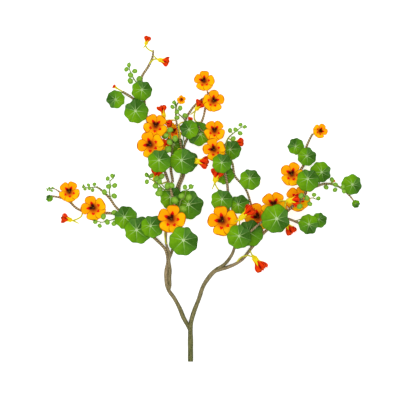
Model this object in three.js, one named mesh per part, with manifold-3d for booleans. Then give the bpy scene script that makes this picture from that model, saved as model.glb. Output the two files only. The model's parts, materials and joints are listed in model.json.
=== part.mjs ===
// Nasturtium (Tropaeolum majus): a branching stem cut from its plant, with its shield-shaped
// leaves and spurred flowers, laid down flat. Millimetres, +Z up, the surface it lies on is z = 0.
// The cut end points to -Y and the growing tips to +Y; the origin is on the surface, under the
// middle of the plant.
//
// Every leaf is one piece, blade and stalk. Every open flower is one piece, petals, spur and stalk.
// A flower that is still closed is one piece with the branch that carries it, except the two
// largest. Each stalk and each side branch is fitted to the branch that it grows from.

import * as THREE from "three";
import { mergeVertices } from "three/addons/utils/BufferGeometryUtils.js";
import Module from "manifold-3d";

const wasm = await Module();
wasm.setup();

// ---- driving dimensions ----

const SEAT_GAP = 0.3; // clearance of each piece to the branch that carries it
const MERGE_TOLERANCE = 1e-4;
const SLIVER = 0.01; // edges shorter than this are closed up after a join or a cut

const BRANCH_SIDES = 7;
const STALK_SIDES = 5;
const BRANCH_STEP = 20; // distance between two rings of a branch
const STALK_STEP = 12;
const LEAST_STEPS = 3; // rings of the shortest stalk
const LENGTH_SAMPLES = 20; // between two points of a branch, when its radii are spread evenly

const BLADE_SEGMENTS = 14;
const BLADE_THICKNESS = 1.3;
const BLADE_CROWN = 1.2; // how far a blade bulges over its rim and its navel
const CROWN_PLACE = 0.55; // where it bulges most, of the way from navel to rim
const LOBES = 7;
const LOBE_DEPTH = 0.035; // of the blade's radius
const LEAF_STALK_RADIUS = 1.2;
const STALK_RISE = 4; // a stalk meets its blade or its flower from straight below

const PETALS = 5;
const PETAL_SEGMENTS = 3;
const PETAL_THICKNESS = 1.1;
const PETAL_NOTCH = 0.13; // how far the outline pulls in between two petals, of the radius
const THROAT_DEPTH = 8;
const THROAT_RADIUS = 3.6;
const THROAT_FLOOR = -5; // height of the throat's floor against the petals
const THROAT_EDGE = -4; // height of the throat's edge, where the petals start
const THROAT_TAPER = 1.5; // how far the throat's underside rises from its middle to its edge
const SPUR_LENGTH = 0.36; // of the flower's diameter
const SPUR_ROOT = -6; // height of the spur's start, inside the throat's wall
const SPUR_BEND = 0.25; // where the spur has turned flat, of its length
const SPUR_SAG = 1.5; // how far the spur's bend lies below the throat
const SPUR_TIP_SAG = 2.5;
const SPUR_ROOT_RADIUS = 2.2;
const SPUR_TIP_RADIUS = 0.9;
const FLOWER_STALK_RADIUS = 1.1;
const FLOWER_STALK_END = 6; // how far below the petals a flower's stalk ends, inside the throat's wall
const BLOOM_SCALE = 0.6; // thickness and throat of the smallest open flower against the others

const TRUMPET_SEGMENTS = 6;
const TRUMPET_SPUR_RADIUS = 1;
const TRUMPET_TUBE_RADIUS = 3;
const TRUMPET_TIP = 0.5; // the spur reaches its radius this far from its end
const TRUMPET_SPUR_SWELL = { place: 0.7, radius: 1.3 }; // of the spur's length and radius
const TRUMPET_TUBE_PLACE = 0.1; // of the head's length
const TRUMPET_FLARE = { place: 0.75, radius: 0.95 }; // of the head's length and the mouth's radius
const TRUMPET_LIP_RADIUS = 0.8; // of the mouth's radius
const TRUMPET_HOLLOW_PLACE = 0.85; // how far up the head the mouth's floor lies
const TRUMPET_STALK_PLACE = 0.9; // where the stalk joins, of the way from spur tip to throat

const STEM_FINISH = { color: 0x9c8358, roughness: 0.75, metalness: 0 };
const LEAF_FINISH = { color: 0x5a9a20, roughness: 0.55, metalness: 0 };
const PETAL_FINISH = { color: 0xffb400, roughness: 0.6, metalness: 0 };
const TRUMPET_FINISH = { color: 0xe23600, roughness: 0.6, metalness: 0 };

// ---- the branches: [x, y, height of the axis, radius] from root to tip ----
// A branch is listed after the one that carries it.

const BRANCHES = [
  {
    name: "main_stem",
    points: [
      [-25, -326.5, 4.9, 4.9],
      [-25.5, -295, 4.8, 4.8],
      [-25.4, -263, 4.6, 4.6],
    ],
  },
  {
    name: "right_branch",
    from: "main_stem",
    points: [
      [-25.4, -269, 4.6, 3.9],
      [-24.9, -254, 4.2, 4],
      [-23.2, -244, 3.9, 3.9],
      [-17.8, -225.6, 3.8, 3.8],
      [-8.2, -200.8, 3.8, 3.8],
      [-0.6, -177.8, 3.7, 3.7],
      [7, -164.4, 3.7, 3.7],
      [22.6, -146, 3.6, 3.6],
      [32, -142.5, 3.3, 3.2],
      [50.6, -137, 3, 3],
      [67.4, -129.6, 2.8, 2.8],
      [79.6, -120.6, 2.7, 2.7],
      [98, -97.6, 2.6, 2.6],
      [118, -73, 2.8, 2.4],
      [128, -63, 5, 2.4],
      [150, -42, 12, 2.3],
      [168.4, -25.6, 18, 2.2],
      [179.2, -15, 22, 2.2],
      [204.4, 11, 22, 2.1],
      [203, 30, 14, 2],
      [195.4, 55.6, 4, 2],
      [200.8, 65.4, 3, 2],
      [205, 85, 2, 1.9],
      [207, 102, 1.8, 1.8],
      [213.2, 118, 2, 1.7],
      [219.6, 129.6, 3, 1.6],
    ],
  },
  {
    name: "left_branch",
    from: "right_branch",
    points: [
      [-24.9, -258, 4.4, 3.2],
      [-31.8, -252, 3.8, 3.6],
      [-38.8, -239, 3.7, 3.7],
      [-46.6, -219.8, 3.6, 3.6],
      [-58, -198.8, 3.5, 3.5],
      [-67.6, -185.4, 3.5, 3.5],
      [-72.4, -174, 3.5, 3.3],
      [-73.8, -158, 3.5, 3.3],
      [-73.6, -145, 3.4, 3.4],
      [-70.6, -124, 2.5, 2.4],
      [-72.4, -111, 2.6, 2.5],
      [-76, -101, 2.7, 2.7],
      [-96, -80, 2.6, 2.6],
      [-112, -66, 2.6, 2.5],
      [-130, -52, 2.6, 2.4],
      [-150, -40, 2.4, 2.3],
      [-180, -30.2, 2.2, 2.1],
      [-212, -29, 2, 2],
      [-244.4, -24, 1.9, 1.9],
      [-256.6, -16.8, 1.8, 1.8],
      [-265.8, -7.6, 1.8, 1.8],
      [-276, -1, 1.7, 1.7],
      [-287.2, 2, 1.6, 1.5],
      [-304.6, 5.4, 1.9, 1.2],
    ],
    leaflet: { at: [-307.2, 0.2, 2.6], diameter: 14 },
  },
  {
    name: "left_side_branch",
    from: "left_branch",
    points: [
      [-160, -36, 2.4, 1.9],
      [-166, -26, 3, 1.9],
      [-177, -13.8, 3, 1.8],
      [-185.2, -1.6, 2.5, 1.8],
      [-193.4, 7.6, 2, 1.7],
      [-203.6, 16.8, 1.8, 1.6],
      [-213, 23, 1.8, 1.5],
      [-234, 22, 3, 1.1],
      [-239, 27, 4, 0.9],
    ],
  },
  {
    name: "centre_branch",
    from: "left_branch",
    points: [
      [-69, -183, 3.6, 2.6],
      [-66.6, -174, 3.6, 3],
      [-67.2, -158, 3.7, 3.1],
      [-66.4, -145, 3.7, 3.4],
      [-68, -124, 7.2, 2.3],
      [-66.6, -112, 7.2, 2.2],
      [-70, -102, 6, 2.1],
      [-73.8, -90, 8, 1.9],
      [-74.2, -72.6, 11, 1.8],
      [-71, -50, 14, 1.8],
      [-64, -28, 18, 1.8],
      [-57, -11.8, 20, 1.8],
      [-60.6, 2.2, 20, 1.8],
      [-65.2, 19.8, 17, 1.8],
      [-68.8, 32.2, 10, 1.9],
      [-75.8, 52.2, 4, 1.9],
      [-86, 75, 3, 1.9],
      [-99, 110, 2.5, 1.9],
      [-112, 158, 2.2, 1.8],
      [-116, 185, 2, 1.7],
      [-120, 215, 1.8, 1.7],
      [-122.8, 242, 1.6, 1.6],
      [-109.6, 264.4, 1.6, 1.6],
      [-101.8, 281.2, 1.8, 1.5],
      [-99.2, 297.4, 3, 1.3],
    ],
    trumpets: [
      {
        spur: [-119.4, 301.6, 4.5],
        throat: [-114, 310, 6.5],
        mouth: [-110, 324, 9],
        radius: 7.4,
        stalk: [
          [-99.2, 294.5, 2.8],
          [-106, 296.5, 4],
          [-112, 301, 4.8],
          [-115, 306, 5.6],
        ],
      },
      {
        spur: [-99, 286.2, 8],
        throat: [-87, 277.4, 9],
        mouth: [-69, 272.5, 10.5],
        radius: 9.5,
        stalk: [
          [-109, 265, 1.8],
          [-104, 274, 6],
          [-92, 279.8, 8.4],
        ],
      },
      {
        spur: [-76, 158, 12],
        throat: [-78, 164, 13],
        mouth: [-83.3, 185, 16],
        radius: 9.2,
        stalk: [
          [-111, 152, 2.4],
          [-102, 155, 9],
          [-86, 159, 12],
        ],
      },
    ],
  },
  {
    name: "centre_twig",
    from: "centre_branch",
    points: [
      [-67.3, 27, 13, 1.5],
      [-61, 34, 8, 1.7],
      [-61.8, 43, 5, 1.7],
      [-64, 55, 4, 1.7],
      [-64, 75, 6, 1.6],
      [-62, 92, 13, 1.5],
      [-61, 104, 23, 1.4],
      [-64.4, 119.6, 31, 1.2],
      [-66, 131, 33, 1],
    ],
  },
  {
    name: "inner_branch",
    from: "centre_branch",
    points: [
      [-66.2, -121, 4, 2],
      [-62.2, -106, 3.2, 2.2],
      [-58, -88, 2.5, 2.3],
      [-53, -60, 2.4, 2.2],
      [-50, -35, 2.4, 2.2],
      [-50, -15, 2.4, 2.1],
      [-53, 5, 2.4, 2],
      [-52, 22, 2.4, 1.95],
      [-43, 47.2, 2.4, 1.95],
      [-41.8, 75, 2.4, 1.9],
      [-43.5, 102, 5, 1.8],
      [-46, 117, 13, 1.7],
      [-48, 133.8, 20, 1.6],
      [-50.5, 142, 20, 1.5],
      [-52.5, 150, 17, 1.4],
      [-54.4, 168, 8, 1.4],
      [-54.4, 179, 6, 1.3],
      [-51.6, 189, 7, 1.2],
      [-45, 196, 10, 1],
    ],
    bloom: { at: [-43.2, 197.6, 13.5], diameter: 18, turn: -30 },
    trumpets: [
      {
        spur: [-62, 161, 15],
        throat: [-65.6, 157, 17],
        mouth: [-69, 144, 21],
        radius: 6.6,
        stalk: [
          [-53.8, 160, 11.5],
          [-58, 158.4, 13],
          [-62.4, 157.6, 15.4],
        ],
      },
      {
        spur: [-30, 77, 22.5],
        throat: [-14, 75, 23.5],
        mouth: [9.6, 70.4, 26],
        radius: 12.4,
        stalk: [
          [-43.4, 100, 4.6],
          [-50, 98, 13],
          [-48, 90, 21],
          [-38, 80, 22.5],
          [-24, 76.4, 23],
        ],
      },
    ],
  },
  {
    name: "crown_branch",
    from: "inner_branch",
    points: [
      [-52.8, 1, 2.4, 1.7],
      [-48.3, 10, 2.4, 1.8],
      [-47, 24, 2.4, 1.95],
      [-38.2, 47.2, 2.4, 1.95],
      [-37.1, 75, 2.4, 1.9],
      [-38.6, 100, 2.4, 1.8],
      [-34, 115, 2.4, 1.8],
      [-24, 130, 2.4, 1.8],
      [-12, 143, 2.6, 1.8],
      [-3.4, 153, 2.8, 1.7],
      [1, 164, 2.6, 1.6],
      [4, 178, 2, 1.6],
      [8, 196, 1.8, 1.5],
      [10, 213, 3, 1.4],
    ],
    trumpets: [
      {
        spur: [-25, 168, 5],
        throat: [-13, 179, 7],
        mouth: [-3, 193.5, 10],
        radius: 9.6,
        stalk: [
          [-4, 152.4, 3],
          [-14, 154, 6],
          [-17.6, 163, 6],
          [-17, 172, 6],
        ],
      },
    ],
  },
  {
    name: "upper_right_branch",
    from: "right_branch",
    points: [
      [19, -150, 3.6, 2.9],
      [28, -141, 5, 2.9],
      [36.8, -136, 6.5, 2.8],
      [46, -128.6, 7.5, 2.7],
      [53.6, -119, 8.5, 2.6],
      [59, -109.8, 10, 2.6],
      [63, -98.6, 15, 2.5],
      [68, -90, 23.6, 2.3],
      [75, -82.4, 28.8, 2.3],
      [94, -66.4, 29, 2.2],
      [109, -53.5, 29.6, 2.1],
      [122, -44, 30, 2.1],
      [137, -39.5, 28, 2],
      [167.6, -40.2, 17, 1.9],
      [191.6, -48.8, 8, 1.8],
    ],
    trumpets: [
      {
        spur: [166, -49, 9],
        throat: [168.6, -56.4, 10.4],
        mouth: [179.4, -69, 11.2],
        radius: 10.6,
        stalk: [
          [163, -39.8, 18.6],
          [164, -46, 15],
          [166.6, -52, 11.4],
        ],
      },
      {
        spur: [62.8, -45.6, 34],
        throat: [75.6, -39, 34.6],
        mouth: [98, -19, 37],
        radius: 11.6,
        stalk: [
          [77, -80, 28.4],
          [74.5, -62, 30.5],
          [72.6, -52, 33],
          [72.6, -42, 34.4],
        ],
      },
      {
        spur: [151.4, -4.8, 38.5],
        throat: [171, -4.6, 36.5],
        mouth: [191, -5, 35],
        radius: 11.2,
        stalk: [
          [153, -39.6, 22.8],
          [157.5, -36, 29],
          [161.5, -28, 34],
          [163.5, -14, 36.5],
        ],
      },
    ],
  },
  {
    name: "middle_branch",
    from: "upper_right_branch",
    points: [
      [66, -94.5, 14, 2.1],
      [60, -86, 10, 2.2],
      [54, -74, 5, 2.2],
      [51.5, -60, 2.8, 2.1],
      [51, -40, 2.4, 2.1],
      [51, -10, 3, 2.1],
      [49.8, 14, 7, 2],
      [48.4, 29.6, 12, 1.9],
      [44.2, 50.6, 13, 1.8],
      [40, 66, 12, 1.7],
      [33, 82, 9, 1.5],
    ],
    trumpets: [
      {
        spur: [18.2, 18.4, 14],
        throat: [24.6, 36, 16],
        mouth: [28.5, 58.6, 19.5],
        radius: 11.8,
        stalk: [
          [48.6, 26, 11],
          [38.4, 17.4, 13.4],
          [28, 22, 15],
          [25, 32, 15.4],
        ],
      },
    ],
  },
  {
    name: "centre_right_branch",
    from: "right_branch",
    points: [
      [120.5, -70, 2.8, 2.1],
      [112, -51, 2.4, 2.2],
      [103, -32, 2.4, 2.1],
      [96, -11, 2.2, 2],
      [87.6, 14.2, 2.2, 2],
      [79, 27, 2.4, 1.9],
      [63.8, 45, 4, 1.8],
      [61, 57.8, 8, 1.8],
      [59.4, 68, 11, 1.8],
      [55.4, 76, 13, 1.7],
      [48.6, 83, 14.5, 1.65],
      [44, 91, 15, 1.6],
      [43.4, 100, 15, 1.6],
      [45.8, 108.4, 14, 1.5],
      [50.4, 120.8, 10, 1.3],
      [64, 133, 6, 1.1],
      [78, 143, 5, 1],
      [86, 143.4, 5, 0.9],
    ],
    trumpets: [
      {
        spur: [49, 105, 2.2],
        throat: [63, 113, 4],
        mouth: [80, 117, 8.8],
        radius: 8.6,
        stalk: [
          [50, 119.5, 10.4],
          [54, 119, 6],
          [58, 113.5, 3.4],
        ],
      },
    ],
  },
  {
    name: "far_right_branch",
    from: "right_branch",
    points: [
      [204.3, 15, 21, 1.9],
      [216, 20.5, 13, 1.9],
      [230.2, 25.2, 5, 1.8],
      [241.8, 29.2, 2.2, 1.7],
      [258, 28.6, 1.7, 1.6],
      [275.8, 21.6, 1.6, 1.5],
      [287, 12, 1.6, 1.5],
      [293.6, 5.6, 1.5, 1.4],
      [300.8, -3.4, 1.5, 1.2],
      [305.4, -9.6, 2.2, 0.9],
    ],
    leaflet: { at: [305.8, -10.4, 2.8], diameter: 16 },
  },
];

// ---- the leaves ----
// middle: the blade's middle. blade: the same, seen from the navel, where the stalk meets the blade.
// grows: the point of the branch where the stalk starts. via: points that the stalk passes, where
// it goes round another piece. tilt: degrees about X and Y.

const LEAVES = [
  {
    middle: [-123, 214.6, 17],
    blade: [-1, -3],
    size: 41,
    tilt: [6, 5],
    on: "centre_branch",
    grows: [-117.5, 195],
  },
  {
    middle: [-174, 198.4, 12],
    blade: [1, 0.6],
    size: 35.5,
    tilt: [-7, -6],
    on: "centre_branch",
    grows: [-116.5, 188],
    via: [
      [-136.2, 197.8, 4],
      [-158, 208, 4],
    ],
  },
  {
    middle: [-133, 173, 25],
    blade: [2, -2],
    size: 48,
    tilt: [-4, 6],
    on: "centre_branch",
    grows: [-113, 165],
  },
  {
    middle: [-26.6, 137.8, 21],
    blade: [1.2, 0],
    size: 37,
    tilt: [5, -4],
    on: "crown_branch",
    grows: [-37, 108],
    via: [[-38.5, 126, 11]],
  },
  {
    middle: [-8, 129, 11],
    blade: [-3.8, 0],
    size: 47,
    tilt: [-3, 0],
    on: "crown_branch",
    grows: [-15, 140],
  },
  {
    middle: [56.6, 96.4, 8.4],
    blade: [2.4, -2],
    size: 38,
    tilt: [6, -6],
    on: "centre_right_branch",
    grows: [61.5, 55],
    via: [
      [60.4, 66, 3.6],
      [56.6, 80, 2.6],
    ],
  },
  {
    middle: [37.2, 69.2, 38],
    blade: [0, -2.6],
    size: 39,
    tilt: [4, 4],
    on: "middle_branch",
    grows: [42, 60],
  },
  {
    middle: [44, 47, 7],
    blade: [0, 0],
    size: 38.5,
    tilt: [0, 0],
    on: "centre_right_branch",
    grows: [66, 42],
    via: [[57, 46, 2.2]],
  },
  {
    middle: [93.4, 37, 16],
    blade: [0.2, -3.8],
    size: 42,
    tilt: [-6, 5],
    on: "centre_right_branch",
    grows: [84.5, 19],
  },
  {
    middle: [-87.6, 73.2, 45],
    blade: [0, -3.4],
    size: 46,
    tilt: [5, -4],
    on: "centre_branch",
    grows: [-78, 58],
  },
  {
    middle: [-41.8, 73.8, 30],
    blade: [1.2, -2.6],
    size: 50,
    tilt: [3, 0],
    on: "inner_branch",
    grows: [-44, 44],
    via: [
      [-43.5, 49, 13],
      [-42.5, 56, 22],
    ],
  },
  {
    middle: [-34, 74.2, 16],
    blade: [0, 0],
    size: 46,
    tilt: [0, 3],
    on: "crown_branch",
    grows: [-37, 88],
  },
  {
    middle: [-64, 0, 14.5],
    blade: [1.2, -2.8],
    size: 45,
    tilt: [0, 0],
    on: "centre_branch",
    grows: [-73.6, -66],
    via: [
      [-72, -40, 9],
      [-67, -14, 8.5],
    ],
  },
  {
    middle: [-30.8, -13, 8.5],
    blade: [-1.8, -1],
    size: 58,
    tilt: [0, 0],
    on: "inner_branch",
    grows: [-50, -26],
    via: [[-40, -20, 3]],
  },
  {
    middle: [-40.4, -85.4, 45],
    blade: [-1.6, -2.4],
    size: 57.5,
    tilt: [-7, 5],
    on: "inner_branch",
    grows: [-60, -96],
  },
  {
    middle: [-154, -39.4, 11],
    blade: [3.2, -2.4],
    size: 46,
    tilt: [0, -4],
    on: "left_branch",
    grows: [-160, -37],
  },
  {
    middle: [-130, -64.4, 18],
    blade: [3, -1.4],
    size: 54,
    tilt: [0, -3],
    on: "left_branch",
    grows: [-127, -54],
  },
  {
    middle: [-102, -56.8, 27],
    blade: [3, -2.4],
    size: 45,
    tilt: [0, -3],
    on: "left_branch",
    grows: [-97, -79],
    via: [[-96.5, -67, 16]],
  },
  {
    middle: [37.2, -5, 16],
    blade: [-0.6, -3.8],
    size: 44,
    tilt: [-5, -4],
    on: "middle_branch",
    grows: [51, -9],
  },
  {
    middle: [73.2, -12.8, 13],
    blade: [3, -1],
    size: 38,
    tilt: [-4, 3],
    on: "centre_right_branch",
    grows: [94, -5],
  },
  {
    middle: [70.8, -77, 36],
    blade: [-1.4, -2.4],
    size: 48,
    tilt: [4, -6],
    on: "upper_right_branch",
    grows: [61, -103],
  },
  {
    middle: [96, -71, 24],
    blade: [2.6, -5],
    size: 53,
    tilt: [0, 0],
    on: "right_branch",
    grows: [96, -100],
    via: [[94, -90, 2.8]],
  },
  {
    middle: [142.8, -40, 44],
    blade: [-4.2, 0.4],
    size: 57,
    tilt: [4, 6],
    on: "upper_right_branch",
    grows: [134, -40],
  },
  {
    middle: [210.4, -50.6, 20],
    blade: [-1.2, 1],
    size: 40,
    tilt: [-6, 5],
    on: "upper_right_branch",
    grows: [190, -48],
  },
  {
    middle: [232, -43.6, 9],
    blade: [0, -1.8],
    size: 30,
    tilt: [5, -4],
    on: "upper_right_branch",
    grows: [184, -46],
    via: [
      [200, -40, 5],
      [218, -38, 4],
    ],
  },
  {
    middle: [208.4, 35, 36],
    blade: [-0.4, -4.4],
    size: 45,
    tilt: [5, -4],
    on: "right_branch",
    grows: [203.5, 27],
  },
  {
    middle: [234, 53.2, 15],
    blade: [-3.4, 0.6],
    size: 42,
    tilt: [-5, -5],
    on: "far_right_branch",
    grows: [232, 26],
  },
  {
    middle: [206.8, 83.2, 20],
    blade: [-0.6, -1.8],
    size: 37,
    tilt: [6, 5],
    on: "right_branch",
    grows: [202, 72],
  },
  {
    middle: [186.4, 103.6, 11],
    blade: [1.6, -1],
    size: 33,
    tilt: [0, 6],
    on: "right_branch",
    grows: [206.5, 98],
  },
  {
    middle: [296.4, 28, 13],
    blade: [-2.8, 0.2],
    size: 40.5,
    tilt: [4, 5],
    on: "far_right_branch",
    grows: [282, 17],
  },
];

// ---- the open flowers ----
// at: the middle of the throat, at the level of the petals. turn: where the gap between the two
// upper petals points, degrees counter-clockwise from +Y. The rest is as on a leaf.

const FLOWERS = [
  { at: [2.4, 235.6, 16], size: 41.5, turn: 35, tilt: [-8, 4], on: "crown_branch", grows: [10, 211] },
  { at: [21.2, 195, 18], size: 44, turn: -39, tilt: [5, 6], on: "crown_branch", grows: [6, 186] },
  { at: [-94.8, 145.2, 31], size: 49, turn: -8, tilt: [4, -3], on: "centre_branch", grows: [-107, 140] },
  { at: [-105, 107, 38], size: 54, turn: 57, tilt: [0, -4], on: "centre_branch", grows: [-94, 97] },
  { at: [-59, 136, 14], size: 37, turn: -5, tilt: [0, 0], on: "inner_branch", grows: [-46, 118] },
  { at: [23.2, 135.6, 22], size: 43, turn: 0, tilt: [0, 5], on: "crown_branch", grows: [-6, 149] },
  { at: [22, 98.8, 30], size: 44, turn: 53, tilt: [3, 0], on: "middle_branch", grows: [35, 78] },
  { at: [-267.6, 14, 18], size: 43, turn: 9, tilt: [-6, -4], on: "left_branch", grows: [-262, -12] },
  { at: [-219.4, -19, 17], size: 51, turn: 58, tilt: [4, -5], on: "left_branch", grows: [-205, -29.2] },
  {
    at: [-63, -41, 35],
    size: 57,
    turn: 31,
    tilt: [0, 0],
    on: "centre_branch",
    grows: [-72.4, -97],
    via: [
      [-75.5, -82, 13],
      [-76, -66, 20],
    ],
  },
  { at: [39.2, -44.8, 28], size: 61, turn: 49, tilt: [-4, 4], on: "middle_branch", grows: [51.5, -64] },
  { at: [110, -37, 20], size: 56, turn: 52, tilt: [0, 0], on: "centre_right_branch", grows: [100, -23] },
  { at: [141, -12, 31], size: 50, turn: 10, tilt: [0, 3], on: "right_branch", grows: [153, -39] },
  { at: [177.6, 48.6, 24], size: 48, turn: 20, tilt: [0, 0], on: "right_branch", grows: [197, 49] },
  {
    at: [189, -0.6, 15],
    size: 49,
    turn: -130,
    tilt: [0, 0],
    on: "right_branch",
    grows: [166, -28],
    via: [[172, -14, 5]],
  },
  { at: [234.8, 135.4, 14], size: 30, turn: -63, tilt: [-6, 6], on: "right_branch", grows: [219, 128.5] },
];

// ---- the two closed flowers that are pieces of their own ----

const TRUMPETS = [
  {
    on: "left_branch",
    spur: [-248, -50, 3],
    throat: [-265, -43, 5.6],
    mouth: [-282, -38, 9.6],
    radius: 9.4,
    stalk: [
      [-241, -25, 1.9],
      [-244, -36, 2.4],
      [-257, -43, 3.6],
    ],
  },
  {
    on: "right_branch",
    spur: [93.4, -103.6, 10],
    throat: [103, -119.4, 11],
    mouth: [119.6, -142.4, 13.2],
    radius: 13,
    stalk: [
      [65.2, -130.6, 2.8],
      [76, -118, 9.5],
      [88, -114, 11.5],
      [99, -116, 11.5],
    ],
  },
];

// ---- closed solids and how they are joined ----

function solidOf(geometry) {
  const bare = geometry.index ? geometry.toNonIndexed() : geometry.clone();
  bare.deleteAttribute("normal");
  bare.deleteAttribute("uv");
  const merged = mergeVertices(bare, MERGE_TOLERANCE);
  return new wasm.Manifold(
    new wasm.Mesh({
      numProp: 3,
      vertProperties: new Float32Array(merged.attributes.position.array),
      triVerts: new Uint32Array(merged.index.array),
    }),
  );
}

function geometryOf(solid) {
  const { vertProperties, triVerts } = solid.simplify(SLIVER).getMesh();
  const geometry = new THREE.BufferGeometry();
  geometry.setAttribute("position", new THREE.BufferAttribute(vertProperties, 3));
  geometry.setIndex(new THREE.BufferAttribute(triVerts, 1));
  const faceted = geometry.toNonIndexed();
  faceted.computeVertexNormals();
  return faceted;
}

const joined = (solids) => solids.reduce((whole, solid) => whole.add(solid));

/** What stands clear of the carrying branch after a cut: the largest body that is left. */
const largest = (solid) =>
  solid.decompose().reduce((best, body) => (body.volume() > best.volume() ? body : best));

/** A polygon of the given number of sides, one millimetre in radius. */
function unitSection(sides) {
  const corners = [];
  for (let i = 0; i < sides; i++) {
    const angle = (2 * Math.PI * i) / sides;
    corners.push(new THREE.Vector2(Math.cos(angle), Math.sin(angle)));
  }
  return new THREE.Shape(corners);
}

/** Radius of a tapering stem at a fraction of its length, from radii given at equal steps. */
function radiusAt(radii, fraction) {
  const place = fraction * (radii.length - 1);
  const before = Math.min(Math.floor(place), radii.length - 2);
  return THREE.MathUtils.lerp(radii[before], radii[before + 1], place - before);
}

/** A closed tapering tube along a curve, with flat ends. swell is added to every radius. */
function stem(curve, radii, sides, step, swell = 0) {
  const steps = Math.max(LEAST_STEPS, Math.round(curve.getLength() / step));
  const geometry = new THREE.ExtrudeGeometry(unitSection(sides), {
    steps,
    extrudePath: curve,
    bevelEnabled: false,
  });
  const centres = curve.getSpacedPoints(steps);
  const position = geometry.attributes.position;
  const vertex = new THREE.Vector3();
  for (let i = 0; i < position.count; i++) {
    vertex.fromBufferAttribute(position, i);
    let ring = 0;
    for (let j = 1; j <= steps; j++) {
      if (centres[j].distanceToSquared(vertex) < centres[ring].distanceToSquared(vertex)) ring = j;
    }
    const radius = radiusAt(radii, ring / steps) + swell;
    vertex.sub(centres[ring]).multiplyScalar(radius).add(centres[ring]);
    position.setXYZ(i, vertex.x, vertex.y, vertex.z);
  }
  return solidOf(geometry);
}

const smooth = (points) =>
  new THREE.CatmullRomCurve3(points.map((p) => new THREE.Vector3(p[0], p[1], p[2])), false, "centripetal");

/** The radii of a list of [x, y, z, radius] points, resampled at equal steps along the curve. */
function evenRadii(points, curve) {
  const total = curve.getLength();
  const lengths = curve.getLengths((points.length - 1) * LENGTH_SAMPLES);
  const at = points.map((_, i) => lengths[i * LENGTH_SAMPLES] / total);
  const samples = 2 * points.length;
  const radii = [];
  for (let i = 0; i <= samples; i++) {
    const fraction = i / samples;
    let k = 0;
    while (k < points.length - 2 && at[k + 1] < fraction) k++;
    const blend = THREE.MathUtils.clamp((fraction - at[k]) / (at[k + 1] - at[k]), 0, 1);
    radii.push(THREE.MathUtils.lerp(points[k][3], points[k + 1][3], blend));
  }
  return radii;
}

/** The point of a branch's axis that is nearest in plan to [x, y]. */
function axisPoint(branch, [x, y]) {
  let best = branch.axis[0];
  for (const point of branch.axis) {
    if (Math.hypot(point.x - x, point.y - y) < Math.hypot(best.x - x, best.y - y)) best = point;
  }
  return [best.x, best.y, best.z];
}

// ---- leaves ----

/** Distance from the navel to the rim of a round blade whose middle is off the navel. */
function rimDistance(angle, radius, [offX, offY]) {
  const along = offX * Math.cos(angle) + offY * Math.sin(angle);
  const across = offX * Math.sin(angle) - offY * Math.cos(angle);
  const lobe = 1 - LOBE_DEPTH * (1 - Math.cos(LOBES * angle));
  return (along + Math.sqrt(radius * radius - across * across)) * lobe;
}

/** A round, slightly domed blade around its navel at the origin. */
function blade(radius, offset) {
  const half = BLADE_THICKNESS / 2;
  const profile = [
    [0, -half],
    [CROWN_PLACE, BLADE_CROWN - half],
    [1, -half],
    [1, half],
    [CROWN_PLACE, BLADE_CROWN + half],
    [0, half],
  ].map(([r, z]) => new THREE.Vector2(r, z));
  const geometry = new THREE.LatheGeometry(profile, BLADE_SEGMENTS).rotateX(Math.PI / 2);
  const position = geometry.attributes.position;
  for (let i = 0; i < position.count; i++) {
    const [x, y] = [position.getX(i), position.getY(i)];
    const reach = rimDistance(Math.atan2(y, x), radius, offset);
    position.setXYZ(i, x * reach, y * reach, position.getZ(i));
  }
  return solidOf(geometry);
}

const tiltOf = ([aboutX, aboutY]) => [aboutX, aboutY, 0];

/** A stalk from a branch's axis to the piece's own origin, in the piece's own frame. */
function stalk({ at, on, grows, via = [] }, radius, rise) {
  const points = [axisPoint(branches.get(on), grows), ...via, [at[0], at[1], at[2] - rise - STALK_RISE]];
  const local = points.map((p) => [p[0] - at[0], p[1] - at[1], p[2] - at[2]]);
  return stem(smooth([...local, [0, 0, -rise]]), [radius, radius], STALK_SIDES, STALK_STEP);
}

/** A piece in its own frame, cut back to clear the branch that carries it. */
const seated = (solid, { at, on }) =>
  largest(solid.subtract(branches.get(on).clearance.translate([-at[0], -at[1], -at[2]])));

/** Where a leaf's stalk meets its blade. */
const navelOf = ({ middle, blade: seen }) => [middle[0] - seen[0], middle[1] - seen[1], middle[2]];

function leaf(spec) {
  const disc = blade(spec.size / 2, spec.blade).rotate(tiltOf(spec.tilt));
  return seated(disc.add(stalk(spec, LEAF_STALK_RADIUS, 0)), spec);
}

// ---- flowers ----

/** The open face of a flower: five petals round a throat, as one cupped disc. */
function corolla(radius, turn) {
  const profile = [
    [0, -THROAT_DEPTH],
    [THROAT_RADIUS, THROAT_TAPER - THROAT_DEPTH],
    [radius, -PETAL_THICKNESS / 2],
    [radius, PETAL_THICKNESS / 2],
    [THROAT_RADIUS, THROAT_EDGE],
    [0, THROAT_FLOOR],
  ].map(([r, z]) => new THREE.Vector2(r, z));
  const geometry = new THREE.LatheGeometry(profile, PETALS * PETAL_SEGMENTS).rotateX(Math.PI / 2);
  const position = geometry.attributes.position;
  const gap = THREE.MathUtils.degToRad(90 + turn);
  for (let i = 0; i < position.count; i++) {
    const [x, y] = [position.getX(i), position.getY(i)];
    const lobe = Math.abs(Math.cos((PETALS / 2) * (Math.atan2(y, x) - gap)));
    const pull = 1 - PETAL_NOTCH * lobe ** 3;
    position.setXYZ(i, x * pull, y * pull, position.getZ(i));
  }
  return solidOf(geometry);
}

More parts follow.
